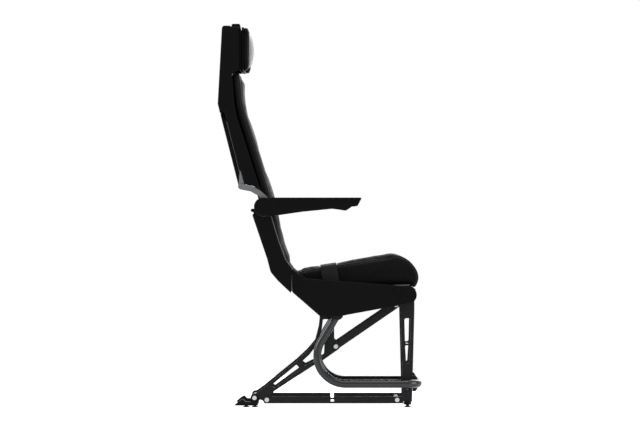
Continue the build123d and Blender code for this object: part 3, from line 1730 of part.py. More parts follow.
def headrest_wing():
    """One folding wing's plate and its knuckle."""
    low_z, high_z, third = wing_plate_heights()
    x_from = headrest_centre_half + knuckle_radius + knuckle_play
    face = Pos((x_from + wing_end_x) / 2, (low_z + high_z) / 2) * RectangleRounded(
        wing_end_x - x_from, high_z - low_z, wing_corner
    )
    wing = Pos(0, headrest_back_y, 0) * extrude(Plane.XZ * face, amount=wing_plate)
    z_from, z_to = low_z + third + knuckle_play / 2, high_z - third - knuckle_play / 2
    wing += hinge_part(z_from, z_to, x_from + knuckle_play)
    middle_y = headrest_back_y - wing_plate / 2
    bore_radius = wing_pin_radius + slip
    bore = cylinder_at(headrest_centre_half, middle_y, low_z, high_z, bore_radius)
    return (wing - bore).solid()


def headrest_wing_pad():
    """The soft pad on a wing, with a rounded front."""
    x_from = headrest_centre_half + 2 * knuckle_radius + pad_hinge_play
    x_to = wing_end_x + pad_overhang
    face = Pos((x_from + x_to) / 2, (headrest_low_z + headrest_high_z) / 2)
    face *= RectangleRounded(x_to - x_from, headrest_high_z - headrest_low_z, pad_corner)
    back_y = headrest_back_y - wing_plate - gap
    depth = headrest_depth - wing_plate - gap
    pad = Pos(0, back_y, 0) * extrude(Plane.XZ * face, amount=depth)
    return fillet(pad.faces().sort_by(Axis.Y)[0].edges(), pad_edge)


def headrest_pillow():
    """The crowned centre pillow."""
    low_z, high_z = headrest_low_z + pillow_above, headrest_high_z - pillow_below
    y_high = headrest_back_y - wing_plate - gap
    y_edge = headrest_back_y - headrest_depth + wall
    y_crown = headrest_back_y - headrest_depth - pillow_proud
    mid_z = (low_z + high_z) / 2 + 2 * wall
    lines = [
        Line((y_high, low_z), (y_high, high_z)),
        Line((y_high, high_z), (y_edge, high_z)),
        ThreePointArc((y_edge, high_z), (y_crown, mid_z), (y_edge, low_z)),
        Line((y_edge, low_z), (y_high, low_z)),
    ]
    face = make_face(Wire([e for line in lines for e in line.edges()]))
    pillow = side_extrude(face, -pillow_half, pillow_half)
    return soft_sides(pillow, pad_edge)


NODES = {
    "front_beam": lambda: beam(front_beam),
    "rear_beam": lambda: beam(rear_beam),
    "beam_end_caps": beam_end_caps,
    "front_leg_left": front_leg,
    "front_leg_right": lambda: mirrored(front_leg()),
    "rear_leg_left": rear_leg,
    "rear_leg_right": lambda: mirrored(rear_leg()),
    "braces": lambda: both(brace()),
    "tie_bars": lambda: both(tie_bar()),
    "leg_bolts": leg_bolts,
    "front_track_fittings": lambda: both(front_fitting()),
    "rear_track_fittings": lambda: both(rear_fitting()),
    "baggage_bar": baggage_bar,
    "baggage_bar_front_clamps": front_bar_clamps,
    "baggage_bar_rear_clamps": rear_bar_clamps,
    "spreader_left": spreader,
    "spreader_right": lambda: mirrored(spreader()),
    "spreader_cover_left": spreader_cover,
    "spreader_cover_right": lambda: mirrored(spreader_cover()),
    "side_skirt_left": side_skirt,
    "side_skirt_right": lambda: mirrored(side_skirt()),
    "skirt_caps": skirt_caps,
    "pivot_pins": pivot_pins,
    "seat_pan": seat_pan,
    "pan_saddles": pan_saddles,
    "front_beam_cover": front_beam_cover,
    "seat_cushion": seat_cushion,
    "lock_bracket": lock_bracket,
    "lock_cylinder": lock_cylinder,
    "lock_rod": lock_rod,
    "back_rail_left": back_rail,
    "back_rail_right": lambda: mirrored(back_rail()),
    "back_crossbars": back_crossbars,
    "back_cushion": back_cushion,
    "upper_back_shell": upper_shell,
    "lower_back_shell": lower_shell,
    "literature_pocket": literature_pocket,
    "table_brackets": table_brackets,
    "headrest_guide": guide_panel,
    "table_leaf": table_leaf,
    "table_arms": table_arms,
    "table_latch": table_latch,
    "headrest_slider": headrest_slider,
    "headrest_core": headrest_core,
    "headrest_pillow": headrest_pillow,
    "headrest_wing_left": headrest_wing,
    "headrest_wing_right": lambda: mirrored(headrest_wing()),
    "headrest_pad_left": headrest_wing_pad,
    "headrest_pad_right": lambda: mirrored(headrest_wing_pad()),
    "armrest_shell_left": lambda: armrest_shell(False),
    "armrest_shell_right": lambda: mirrored(armrest_shell(True)),
    "armrest_cap_left": armrest_cap,
    "armrest_cap_right": lambda: mirrored(armrest_cap()),
    "recline_button": lambda: mirrored(recline_button()),
    "belt_webbing_left": lambda: webbing(buckle_bar()),
    "belt_webbing_right": lambda: mirrored(webbing((-tongue_bar()[0], tongue_bar()[1]))),
    "belt_anchors": belt_anchors,
    "buckle_body": buckle_body,
    "buckle_lever": buckle_lever,
    "belt_tongue": belt_tongue,
}

for name, make in NODES.items():
    export_step(make(), f"parts/{name}.step")
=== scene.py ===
# %% [markdown]
# # A single-place airliner seat
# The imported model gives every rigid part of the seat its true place. This lesson dresses it:
# leather cushions, a woven belt, moulded covers, anodised legs and bare steel fittings.
# Everything is in metres. The passenger faces -Y, and the photograph looks along +X.

import bpy
import bmesh
import json
import math
from mathutils import Matrix, Vector
from mathutils.bvhtree import BVHTree


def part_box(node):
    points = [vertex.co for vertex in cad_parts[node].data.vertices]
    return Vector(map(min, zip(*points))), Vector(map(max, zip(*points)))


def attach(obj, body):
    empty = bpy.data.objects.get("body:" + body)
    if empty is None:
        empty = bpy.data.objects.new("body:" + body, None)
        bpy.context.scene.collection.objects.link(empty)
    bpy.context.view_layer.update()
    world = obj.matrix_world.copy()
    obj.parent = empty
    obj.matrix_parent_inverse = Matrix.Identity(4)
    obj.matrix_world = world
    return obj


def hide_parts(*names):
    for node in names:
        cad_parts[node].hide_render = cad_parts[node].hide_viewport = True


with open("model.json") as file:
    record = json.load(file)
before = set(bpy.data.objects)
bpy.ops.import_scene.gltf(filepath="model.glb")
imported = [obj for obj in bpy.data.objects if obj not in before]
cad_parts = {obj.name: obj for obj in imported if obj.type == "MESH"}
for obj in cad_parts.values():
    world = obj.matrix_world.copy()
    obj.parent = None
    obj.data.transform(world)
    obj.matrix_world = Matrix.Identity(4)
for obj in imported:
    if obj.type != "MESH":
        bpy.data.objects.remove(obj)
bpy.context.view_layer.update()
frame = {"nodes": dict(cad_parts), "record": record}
nodes = frame["nodes"]

# %% [markdown]
# ## Three small tools
# Colours are written as sRGB hex values, as a paint chart gives them, and Blender's shaders work
# in linear light, so one function turns the first into the second. A node tree takes three lines
# for each node when it is written out, so a second function adds a node with its settings and
# its links. A third turns a finished bmesh into an object at the origin.


# %% Colours, nodes and pieces
def linear(hex_colour):
    """An sRGB hex colour as the linear RGBA that shaders expect."""
    parts = [int(hex_colour[i : i + 2], 16) / 255 for i in (0, 2, 4)]
    return (*(c / 12.92 if c <= 0.04045 else ((c + 0.055) / 1.055) ** 2.4 for c in parts), 1.0)


def add(tree, kind, settings=None, links=None):
    """Adds a shader node, sets its properties and sockets, and joins its inputs."""
    node = tree.nodes.new(kind)
    for name, value in (settings or {}).items():
        if isinstance(name, str) and hasattr(node, name):
            setattr(node, name, value)
        else:
            node.inputs[name].default_value = value
    for name, source in (links or {}).items():
        tree.links.new(source, node.inputs[name])
    return node


def piece_from(bm, name):
    """Turns a bmesh into a mesh object of the scene and frees it."""
    mesh = bpy.data.meshes.new(name)
    bm.to_mesh(mesh)
    bm.free()
    piece = bpy.data.objects.new(name, mesh)
    bpy.context.scene.collection.objects.link(piece)
    return piece


print("mid grey in linear light:", [round(c, 3) for c in linear("808080")])

# %% [markdown]
# ## Light, floor and camera
# The photograph is a plain side view on white, with almost no perspective. A long lens from far
# away gives that. Large soft lamps stand in for a studio tent. A near-black seat needs broad
# lamps, because its shape is read from their soft reflections. The white isn't made by more
# light: the world and the floor glow only for the camera and for what metal and glass show of
# them, and stay dim as sources, so that the floor keeps the seat's shadow.


# %% Studio world
def looked_at(tree):
    """1 for a ray from the camera, a mirror or glass, and 0 for one that only carries light."""
    ray = add(tree, "ShaderNodeLightPath")
    glimpsed = add(
        tree,
        "ShaderNodeMath",
        {"operation": "MAXIMUM"},
        {0: ray.outputs["Is Glossy Ray"], 1: ray.outputs["Is Transmission Ray"]},
    )
    seen = add(
        tree,
        "ShaderNodeMath",
        {"operation": "MAXIMUM"},
        {0: ray.outputs["Is Camera Ray"], 1: glimpsed.outputs[0]},
    )
    return seen.outputs[0]


world = bpy.data.worlds.new("studio_tent")
bpy.context.scene.world = world
world.use_nodes = True
tent = world.node_tree
tent.nodes.clear()
dim = add(tent, "ShaderNodeBackground", {"Color": linear("eceef0"), "Strength": 0.3})
white = add(tent, "ShaderNodeBackground", {"Color": linear("ffffff"), "Strength": 1.0})
mixed = add(
    tent,
    "ShaderNodeMixShader",
    None,
    {0: looked_at(tent), 1: dim.outputs[0], 2: white.outputs[0]},
)
add(tent, "ShaderNodeOutputWorld", None, {"Surface": mixed.outputs[0]})
print("world: white to the eye, soft grey as light")

# %% Soft lamps
seat_middle = Vector((0.0, 0.0, 0.6))
# Each lamp has its place, the side of its square and its power in watts.
lamps = {
    "overhead_softbox": ((-0.5, -0.3, 3.4), 2.4, 75.0),
    "front_softbox": ((-0.9, -3.5, 1.3), 1.7, 50.0),
    "rear_softbox": ((-1.0, 3.4, 1.9), 1.8, 70.0),
    "far_side_softbox": ((3.2, -0.8, 1.9), 2.2, 46.0),
}
for name, (place, size, power) in lamps.items():
    lamp = bpy.data.lights.new(name, "AREA")
    lamp.shape = "SQUARE"
    lamp.size = size
    lamp.energy = power
    holder = bpy.data.objects.new(name, lamp)
    bpy.context.scene.collection.objects.link(holder)
    holder.location = place
    holder.visible_camera = False
    aim = seat_middle - Vector(place)
    holder.rotation_euler = aim.to_track_quat("-Z", "Y").to_euler()
print("lamps:", len(lamps))

# %% Pale floor
floor_radius = 3.0
floor_glow = 0.62  # the light on the paint gives the rest of the white
bm = bmesh.new()
bmesh.ops.create_circle(bm, cap_ends=True, segments=96, radius=floor_radius)
studio_floor = piece_from(bm, "studio_floor")
paint = bpy.data.materials.new("white_floor_paint")
paint.use_nodes = True
shader = paint.node_tree.nodes["Principled BSDF"]
shader.inputs["Base Color"].default_value = linear("f6f6f6")
shader.inputs["Roughness"].default_value = 0.9
shader.inputs["Specular IOR Level"].default_value = 0.1
shader.inputs["Emission Color"].default_value = linear("ffffff")
lift = add(
    paint.node_tree,
    "ShaderNodeMath",
    {"operation": "MULTIPLY", 1: floor_glow},
    {0: looked_at(paint.node_tree)},
)
paint.node_tree.links.new(lift.outputs[0], shader.inputs["Emission Strength"])
studio_floor.data.materials.append(paint)
print("floor:", 2 * floor_radius, "m across")

# %% Camera at the photograph's viewing angle
lens_mm = 300.0
sensor_mm = 36.0
picture_width, picture_height = 640, 430
view_height = 1.30  # what the picture shows of the seat's plane, from top to bottom
camera_height = 0.575
camera_data = bpy.data.cameras.new("side_camera")
camera_data.lens = lens_mm
camera_data.sensor_width = sensor_mm
camera = bpy.data.objects.new("side_camera", camera_data)
bpy.context.scene.collection.objects.link(camera)
distance = view_height * picture_width / picture_height / (sensor_mm / lens_mm)
camera.location = (-distance, 0.0, camera_height)
camera.rotation_euler = (math.radians(90), 0.0, math.radians(-90))
camera_data.clip_end = 60.0
bpy.context.scene.camera = camera
bpy.context.scene.view_settings.view_transform = "Standard"
print("camera distance:", round(distance, 2), "m")

# %% [markdown]
# ## Finishes
# Each finish starts from the real one: what it is made of, how its surface was made, and how
# fine its texture is. Patterns use Object coordinates, so they sit still on the part. The
# finishes end in the same way: a pattern mixes two near colours, another spreads the roughness,
# and a third raises a fine bump, so three helpers do that for all of them.


# %% Colour, sheen and relief from patterns
def new_finish(name):
    """A material with its node tree and its shader."""
    material = bpy.data.materials.new(name)
    material.use_nodes = True
    tree = material.node_tree
    return material, tree, tree.nodes["Principled BSDF"]


def tinted(tree, pattern, light, dark):
    """Two near colours, mixed by a pattern."""
    colours = {"data_type": "RGBA", 6: linear(dark), 7: linear(light)}
    tint = add(tree, "ShaderNodeMix", colours, {0: pattern})
    tree.links.new(tint.outputs[2], tree.nodes["Principled BSDF"].inputs["Base Color"])


def uneven_sheen(tree, pattern, roughness, spread, reach):
    """Roughness that wanders by spread while a pattern is within reach of its middle, 0.5."""
    limits = {"From Min": 0.5 - reach, "From Max": 0.5 + reach}
    limits |= {"To Min": roughness - spread, "To Max": roughness + spread}
    rough = add(tree, "ShaderNodeMapRange", limits, {"Value": pattern})
    tree.links.new(rough.outputs["Result"], tree.nodes["Principled BSDF"].inputs["Roughness"])


def raised(tree, pattern, strength, depth):
    """Fine relief, depth metres deep, from a pattern."""
    settings = {"Strength": strength, "Distance": depth}
    bump = add(tree, "ShaderNodeBump", settings, {"Height": pattern})
    tree.links.new(bump.outputs["Normal"], tree.nodes["Principled BSDF"].inputs["Normal"])


print("helpers for colour, sheen and relief are ready")

# %% [markdown]
# ## Anodised aluminium and brushed steel
# The legs are machined plate, dyed dark as they are anodised, and the bar is a drawn tube, dyed
# and polished. Bolts, lock and hinge pins are left as brushed steel. All of them keep the faint
# marks of the tool and a slightly cloudy sheen. Real marks are finer than half a millimetre. They
# are drawn 0.8 to 4 mm wide, and the tube's as soft waves 60 mm wide, so that they show.


# %% Satin metal
metal_cloud_scale = 22.0  # cloudy patches about 45 mm wide
mark_stretch = 0.25  # the marks are four times as long as they are wide
mark_depth = 0.0001


def anodised(name, light, dark, roughness, mark_mm):
    """Metal with stretched tool marks mark_mm wide, under a slightly cloudy colour."""
    material, tree, shader = new_finish(name)
    shader.inputs["Metallic"].default_value = 1.0
    place = add(tree, "ShaderNodeTexCoord")
    along = add(
        tree,
        "ShaderNodeMapping",
        {"Scale": (1.0, mark_stretch, mark_stretch)},
        {"Vector": place.outputs["Object"]},
    )
    cloud = add(
        tree,
        "ShaderNodeTexNoise",
        {"Scale": metal_cloud_scale, "Detail": 3.0},
        {"Vector": place.outputs["Object"]},
    )
    marks = add(
        tree,
        "ShaderNodeTexNoise",
        {"Scale": 1000.0 / mark_mm, "Detail": 1.0},
        {"Vector": along.outputs["Vector"]},
    )
    tinted(tree, cloud.outputs["Fac"], light, dark)
    uneven_sheen(tree, marks.outputs["Fac"], roughness, spread=0.06, reach=0.2)
    raised(tree, marks.outputs["Fac"], strength=0.06, depth=mark_depth)
    return material


leg_anodise = anodised("dark_anodised_aluminium", "272728", "1e1e1f", 0.42, 1.2)
tube_anodise = anodised("dark_polished_tube", "3a3b3c", "333435", 0.2, 60.0)
bracket_anodise = anodised("grey_anodised_aluminium", "77787a", "67686a", 0.45, 1.5)
fitting_oxide = anodised("black_oxide_steel", "1c1c1d", "141415", 0.45, 1.4)
bare_steel = anodised("brushed_bare_steel", "c4c5c7", "a6a7aa", 0.3, 0.8)
pan_sheet = anodised("clear_anodised_sheet", "7c7d80", "68696c", 0.42, 1.6)
buckle_steel = anodised("brushed_buckle_steel", "a4a5a8", "929396", 0.36, 4.0)
print("metals:", [m.name for m in (leg_anodise, tube_anodise, bracket_anodise, bare_steel)])

# %% [markdown]
# ## Moulded plastics
# Shells and covers are injection moulded in black polycarbonate, the table in a smoother ABS, and
# the armrest pads in a soft urethane. The tool is spark-eroded, which leaves an even grain that
# scatters the light into a broad, weak sheen. Real grain is about 0.5 mm, and it is drawn 1.2 to
# 2.4 mm wide so that it shows. Waxed thread has the same soft sheen, so it is made here too.


# %% Moulded plastics
haze_scale = 9.0  # faint patches about 110 mm wide


def moulded(name, light, dark, roughness, grain_mm, grain_depth):
    """Plastic with a spark-eroded grain and a soft, slightly patchy sheen."""
    material, tree, shader = new_finish(name)
    shader.inputs["IOR"].default_value = 1.53
    shader.inputs["Specular IOR Level"].default_value = 0.05
    place = add(tree, "ShaderNodeTexCoord")
    haze = add(
        tree,
        "ShaderNodeTexNoise",
        {"Scale": haze_scale, "Detail": 4.0},
        {"Vector": place.outputs["Object"]},
    )
    grain = add(
        tree,
        "ShaderNodeTexVoronoi",
        {"feature": "SMOOTH_F1", "Scale": 1000.0 / grain_mm, "Smoothness": 0.6},
        {"Vector": place.outputs["Object"]},
    )
    tinted(tree, haze.outputs["Fac"], light, dark)
    uneven_sheen(tree, haze.outputs["Fac"], roughness, spread=0.05, reach=0.15)
    raised(tree, grain.outputs["Distance"], strength=0.35, depth=grain_depth)
    return material


shell_plastic = moulded("grained_black_polycarbonate", "0d0d0e", "09090a", 0.55, 1.6, 0.00012)
table_plastic = moulded("smooth_black_abs", "101011", "0b0b0c", 0.42, 2.4, 0.00008)
pad_plastic = moulded("soft_touch_black_urethane", "0d0d0e", "09090a", 0.65, 1.2, 0.0001)
thread = moulded("waxed_polyester_thread", "2c2d2f", "1e1f21", 0.6, 1.0, 0.0001)
grey_thread = moulded("grey_polyester_thread", "8f918f", "7c7e7c", 0.6, 1.0, 0.0001)
print("plastics:", [m.name for m in (shell_plastic, table_plastic, pad_plastic, thread)])

# %% [markdown]
# ## Finishes on the rigid parts
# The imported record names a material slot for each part, and each slot has its finish. A few parts
# differ from the rest of their slot: the feet are black, the side frames are grey, and the pan is
# clear anodised sheet. They are listed by name.

# %% Dress the rigid parts
finish_of_slot = {
    "frame_metal": leg_anodise,
    "tube_metal": tube_anodise,
    "link_metal": bracket_anodise,
    "bare_steel": bare_steel,
    "buckle_steel": buckle_steel,
    "shell_plastic": shell_plastic,
    "table_plastic": table_plastic,
    "pad_plastic": pad_plastic,
}
finish_of_part = {
    "front_track_fittings": fitting_oxide,
    "rear_track_fittings": fitting_oxide,
    "spreader_left": bracket_anodise,
    "spreader_right": bracket_anodise,
    "seat_pan": pan_sheet,
}
# The soft parts' slots aren't listed, because covers and straps replace those parts later.
slot_of = {part["node"]: part["material_slot"] for part in frame["record"]["subparts"]}
for name, part in nodes.items():
    finish = finish_of_part.get(name) or finish_of_slot.get(slot_of[name], shell_plastic)
    part.data.materials.clear()
    part.data.materials.append(finish)
print("dressed:", len(nodes))

# %% [markdown]
# ## Black and grey leather
# Aviation leather is thin, drum-dyed and embossed: a fine pebble grain under a low sheen, with
# long soft creases where the foam below bends it. A painted map could show that, but a Voronoi
# pattern for the pebbles and distorted noise for the creases need no map and no UVs. The real
# pebbles are about 1.5 mm across, and are drawn 2.6 mm so that a picture of the seat holds them.


# %% Pebbled leather
pebble_mm = 2.6
crease_mm = 55.0
wear_mm = 140.0
crease_share = 3.0  # the creases are this many times as high as the pebbles
leather_depth = 0.0006


def leather(name, light, dark, roughness):
    """Embossed leather: pebbles, soft creases and a patchy low sheen."""
    material, tree, shader = new_finish(name)
    shader.inputs["IOR"].default_value = 1.46
    shader.inputs["Specular IOR Level"].default_value = 0.08
    place = add(tree, "ShaderNodeTexCoord")
    pebbles = add(
        tree,
        "ShaderNodeTexVoronoi",
        {
            "feature": "SMOOTH_F1",
            "Scale": 1000.0 / pebble_mm,
            "Smoothness": 0.5,
            "Randomness": 0.9,
        },
        {"Vector": place.outputs["Object"]},
    )
    creases = add(
        tree,
        "ShaderNodeTexNoise",
        {"Scale": 1000.0 / crease_mm, "Detail": 5.0, "Roughness": 0.6, "Distortion": 0.8},
        {"Vector": place.outputs["Object"]},
    )
    wear = add(
        tree,
        "ShaderNodeTexNoise",
        {"Scale": 1000.0 / wear_mm, "Detail": 3.0},
        {"Vector": place.outputs["Object"]},
    )
    height = add(
        tree,
        "ShaderNodeMath",
        {"operation": "MULTIPLY_ADD", 1: crease_share},
        {0: creases.outputs["Fac"], 2: pebbles.outputs["Distance"]},
    )
    tinted(tree, wear.outputs["Fac"], light, dark)
    uneven_sheen(tree, wear.outputs["Fac"], roughness, spread=0.07, reach=0.2)
    raised(tree, height.outputs[0], strength=0.3, depth=leather_depth)
    return material


black_leather = leather("embossed_black_leather", "0d0d0e", "080809", 0.58)
grey_leather = leather("embossed_pale_grey_leather", "c6c7c5", "b2b3b1", 0.5)
print("leathers:", black_leather.name, grey_leather.name)

# %% [markdown]
# ## Belt webbing
# Seat belt webbing is polyester, woven with a rib across the strap every 1.5 mm and slanting
# yarns between the ribs. A wave texture on the strap's own UV map draws both, because the pattern
# has to follow the strap round the cushion. The ribs are drawn 3 mm apart, twice the real pitch,
# so that they show.


# %% Woven webbing
rib_mm = 3.0
weave_depth = 0.0004
# A wave texture runs through 20 radians to a unit of its scale along X, and 10 on the slant,
# so these two give a rib every 3 mm and a slanting band every 10 mm of the strap.
rib_scale = 100 * math.pi / rib_mm
yarn_scale = 60 * math.pi / rib_mm


def woven(name, light, dark):
    """Belt webbing: ribs across its width, crossed by slanting yarns."""
    material, tree, shader = new_finish(name)
    shader.inputs["Roughness"].default_value = 0.72
    shader.inputs["Specular IOR Level"].default_value = 0.12
    shader.inputs["Sheen Weight"].default_value = 0.05
    place = add(tree, "ShaderNodeTexCoord")
    ribs, yarns = (
        add(
            tree,
            "ShaderNodeTexWave",
            {"wave_type": "BANDS", "bands_direction": direction, "Scale": scale},
            {"Vector": place.outputs["UV"]},
        )
        for direction, scale in (("X", rib_scale), ("DIAGONAL", yarn_scale))
    )
    both_waves = add(
        tree,
        "ShaderNodeMath",
        {"operation": "ADD"},
        {0: ribs.outputs["Fac"], 1: yarns.outputs["Fac"]},
    )
    tinted(tree, ribs.outputs["Fac"], light, dark)
    raised(tree, both_waves.outputs[0], strength=0.5, depth=weave_depth)
    return material


belt_weave = woven("woven_charcoal_webbing", "232426", "151517")
print("webbing:", belt_weave.name, "with a rib every", rib_mm, "mm")

# %% [markdown]
# ## Cushions
# An airliner's bottom cushion is a foam block, cut to a rounded nose and bonded to a fire-blocking
# layer, inside a sewn leather cover. The cover pulls tight, so the foam crowns between the seams.
# A modeller could sculpt that, but a short cloth simulation gives it from the block's own shape:
# the block's skin is remeshed to an even grid, blown up a little, and held where the belt lies.


# %% Skin of a foam block
def settle(piece):
    """Turns a piece's modifiers into its mesh."""
    evaluated = piece.evaluated_get(bpy.context.evaluated_depsgraph_get())
    mesh = bpy.data.meshes.new_from_object(evaluated)
    piece.modifiers.clear()
    old = piece.data
    piece.data = mesh
    bpy.data.meshes.remove(old)
    mesh.name = piece.name


def ease(bm):
    """Two passes of smoothing take stair steps and sharp creases out of a skin."""
    for _ in range(2):
        bmesh.ops.smooth_vert(
            bm, verts=bm.verts, factor=0.5, use_axis_x=True, use_axis_y=True, use_axis_z=True
        )


def foam_skin(node, name, voxel, inset, resting):
    """An even grid over a foam block, pulled in by inset but not on the side it rests on."""
    bm = bmesh.new()
    bm.from_mesh(nodes[node].data)
    bmesh.ops.remove_doubles(bm, verts=bm.verts, dist=1e-5)
    piece = piece_from(bm, name)
    remesh = piece.modifiers.new("even_grid", "REMESH")
    remesh.mode = "VOXEL"
    remesh.voxel_size = voxel
    settle(piece)
    bm = bmesh.new()
    bm.from_mesh(piece.data)
    ease(bm)
    bm.normal_update()
    for vert in bm.verts:
        vert.co -= vert.normal * inset * (1.0 - max(0.0, vert.normal.dot(resting)))
    bm.to_mesh(piece.data)
    bm.free()
    print(name, "has a grid of", len(piece.data.vertices), "points")
    return piece


# %% Cover blown up by a cloth simulation
cloth_frames = 20
cover_pressure = 4.0
foam_gives = 0.0012  # the foam lets the cover sink this far


def inflate(piece):
    """Runs Blender's cloth on the skin with air pressure in it and no gravity."""
    cloth = piece.modifiers.new("inflate", "CLOTH")
    cloth.settings.use_pressure = True
    cloth.settings.uniform_pressure_force = cover_pressure
    cloth.settings.effector_weights.gravity = 0.0
    cloth.settings.quality = 4
    cloth.settings.mass = 0.3
    cloth.settings.tension_stiffness = 12.0
    cloth.settings.compression_stiffness = 12.0
    cloth.settings.bending_stiffness = 0.4
    cloth.collision_settings.use_collision = False
    for number in range(1, cloth_frames + 1):
        bpy.context.scene.frame_set(number)
    settle(piece)
    bpy.context.scene.frame_set(1)


def swell(piece, cap):
    """Blows the skin up. No point goes further than cap(point), or far into the foam."""
    rest = [(v.co.copy(), v.normal.copy()) for v in piece.data.vertices]
    inflate(piece)
    furthest = 0.0
    for vert, (start, normal) in zip(piece.data.vertices, rest):
        move = vert.co - start
        sunk = -move.dot(normal)
        if sunk > foam_gives:
            move += normal * (sunk - foam_gives)
        limit = cap(start)
        if move.length > limit:
            move *= limit / move.length
        vert.co = start + move
        furthest = max(furthest, move.length)
    print(piece.name, "swells by up to", round(furthest * 1000, 1), "mm")


# %% Sewn seams
panel_reach = 0.038  # a panel has most of its crown this far from a seam
elsewhere = 1.0  # the distance that a seam gives for points it has no part in


def rounded(distance):
    """Rises smoothly from 0 on a seam to 1 in the middle of a panel."""
    return 1.0 - math.exp(-((distance / panel_reach) ** 2))


def share(value, full):
    """Goes straight from 0 to 1 as a value goes from 0 to full, and stays there."""
    return min(1.0, max(0.0, value / full))


def finish_skin(piece, seams, depth, width):
    """Eases the creases, refines the skin once and draws in each seam, a function of a point."""
    bm = bmesh.new()
    bm.from_mesh(piece.data)
    ease(bm)
    bm.to_mesh(piece.data)
    bm.free()
    detail = piece.modifiers.new("finer_grid", "SUBSURF")
    detail.levels = 1
    detail.render_levels = 1
    settle(piece)
    bm = bmesh.new()
    bm.from_mesh(piece.data)
    bm.normal_update()
    for vert in bm.verts:
        near = min(seam(vert.co) for seam in seams)
        vert.co -= vert.normal * (depth * math.exp(-((near / width) ** 2)))
    for face in bm.faces:
        face.smooth = True
    bm.to_mesh(piece.data)
    bm.free()
    print(piece.name, "has", len(seams), "kinds of seam,", round(depth * 1000, 1), "mm deep")


# %% [markdown]
# ## Bottom cushion
# The cover has a middle panel, two side panels and a boxing strip round the rim. Each seam is a
# function that gives a point's distance from it, so the same functions shape the crown and draw
# the seam in, and the stitches are later laid from the same values. The belt presses on the
# cushion, and the pan is under it, so the cover crowns least there.

# %% Seams of the bottom cushion
cushion_low, cushion_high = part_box("seat_cushion")
side_seam = 0.150
nose_seam_y = -0.205
boxing_inset = 0.011
# The seams are only on the upper faces, and each stops at its own height.
side_seam_foot = 0.372
nose_seam_foot = 0.42
boxing_foot = 0.38


def seat_side_seam(point):
    """Distance from the two seams that run from front to back."""
    return abs(abs(point.x) - side_seam) if point.z > side_seam_foot else elsewhere


def seat_nose_seam(point):
    """Distance from the seam across the front of the middle panel."""
    inside = abs(point.x) < side_seam and point.z > nose_seam_foot
    return abs(point.y - nose_seam_y) if inside else elsewhere


def seat_boxing_seam(point):
    """Distance from the seam where the top panel meets the side panel."""
    from_seam = abs(abs(point.x) - (cushion_high.x - boxing_inset))
    return from_seam if point.z > boxing_foot else elsewhere


seat_seams = [seat_side_seam, seat_nose_seam, seat_boxing_seam]
print("bottom cushion:", round((cushion_high.x - cushion_low.x) * 1000), "mm wide")

# %% Bottom cushion
belt_low, belt_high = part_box("buckle_body")
belt_y = (belt_low.y + belt_high.y) / 2
seat_seam_crown = 0.0045
seat_panel_crown = 0.0070
seat_rim_crown = 0.0035
seat_nose_crown = 0.0055
under_belt_crown = 0.0028
side_rim, rear_rim, nose_depth = 0.006, 0.02, 0.03
belt_hold = 0.05  # the belt holds the cover down over this length
pan_top = 0.36  # the cover is on the pan below this height
pan_fade = 0.03
on_pan = 0.25  # the share of its crown that the cover keeps on the pan


def seat_cap(point):
    """Free to crown between the seams, with its own crown at the rims and the nose, and held by the
    belt and the pan.
    """
    between = rounded(seat_side_seam(point)) * rounded(seat_nose_seam(point))
    crown = seat_seam_crown + seat_panel_crown * between
    if abs(point.x) > cushion_high.x - side_rim or point.y > cushion_high.y - rear_rim:
        crown = seat_rim_crown
    if point.y < cushion_low.y + nose_depth:
        crown = seat_nose_crown
    on_top = point.z > boxing_foot
    held = math.exp(-(((point.y - belt_y) / belt_hold) ** 2)) if on_top else 0.0
    crown += (under_belt_crown - crown) * held
    return crown * (on_pan + (1 - on_pan) * share(point.z - pan_top, pan_fade))


down = Vector((0, 0, -1))
seat_pad = foam_skin("seat_cushion", "seat_cushion_cover", voxel=0.005, inset=0.003, resting=down)
swell(seat_pad, seat_cap)
finish_skin(seat_pad, seat_seams, depth=0.003, width=0.0032)
seat_pad.data.materials.append(black_leather)
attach(seat_pad, "base")
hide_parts("seat_cushion")

# %% [markdown]
# ## Back cushion
# The back cushion is thinner, and its cover is tied to the frame all round, so it crowns less at
# its rims. Three cross seams divide the middle panel at the waist, the ribs and the shoulders,
# where the foam has to follow the passenger's back. The rear side lies flat on the back's frame.

# %% Seams of the back cushion
back_low, back_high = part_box("back_cushion")
back_side_seam = 0.148
back_cross_seams = (0.565, 0.735, 0.905)
back_boxing_inset = 0.009


def back_panel_seam(point):
    """Distance from the two seams that run up the back."""
    return abs(abs(point.x) - back_side_seam)


def back_cross_seam(point):
    """Distance from the nearest seam across the middle panel."""
    if abs(point.x) > back_side_seam:
        return elsewhere
    return min(abs(point.z - z) for z in back_cross_seams)


def back_boxing_seam(point):
    """Distance from the seam where the front panel meets the side panel."""
    return abs(abs(point.x) - (back_high.x - back_boxing_inset))


back_seams = [back_panel_seam, back_cross_seam, back_boxing_seam]
print("back cushion:", round((back_high.z - back_low.z) * 1000), "mm high")

# %% Back cushion
back_seam_crown = 0.004
back_panel_crown = 0.0065
back_rim_crown = 0.0028
tied_side, tied_foot, tied_top = 0.025, 0.04, 0.03  # how far in from a rim the ties are felt


def back_cap(point):
    """Crowns between the seams, and less at the rims, where the cover is tied to the frame."""
    between = rounded(back_panel_seam(point)) * rounded(back_cross_seam(point))
    crown = back_seam_crown + back_panel_crown * between
    side = share(back_high.x - abs(point.x), tied_side)
    foot = share(point.z - back_low.z, tied_foot)
    top = share(back_high.z - point.z, tied_top)
    return back_rim_crown + (crown - back_rim_crown) * side * foot * top


back_rear = Vector((0, 0.96, -0.28))
back_pad = foam_skin(
    "back_cushion", "back_cushion_cover", voxel=0.006, inset=0.003, resting=back_rear
)
swell(back_pad, back_cap)
finish_skin(back_pad, back_seams, depth=0.0032, width=0.0035)
back_pad.data.materials.append(black_leather)
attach(back_pad, "backrest")
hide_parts("back_cushion")

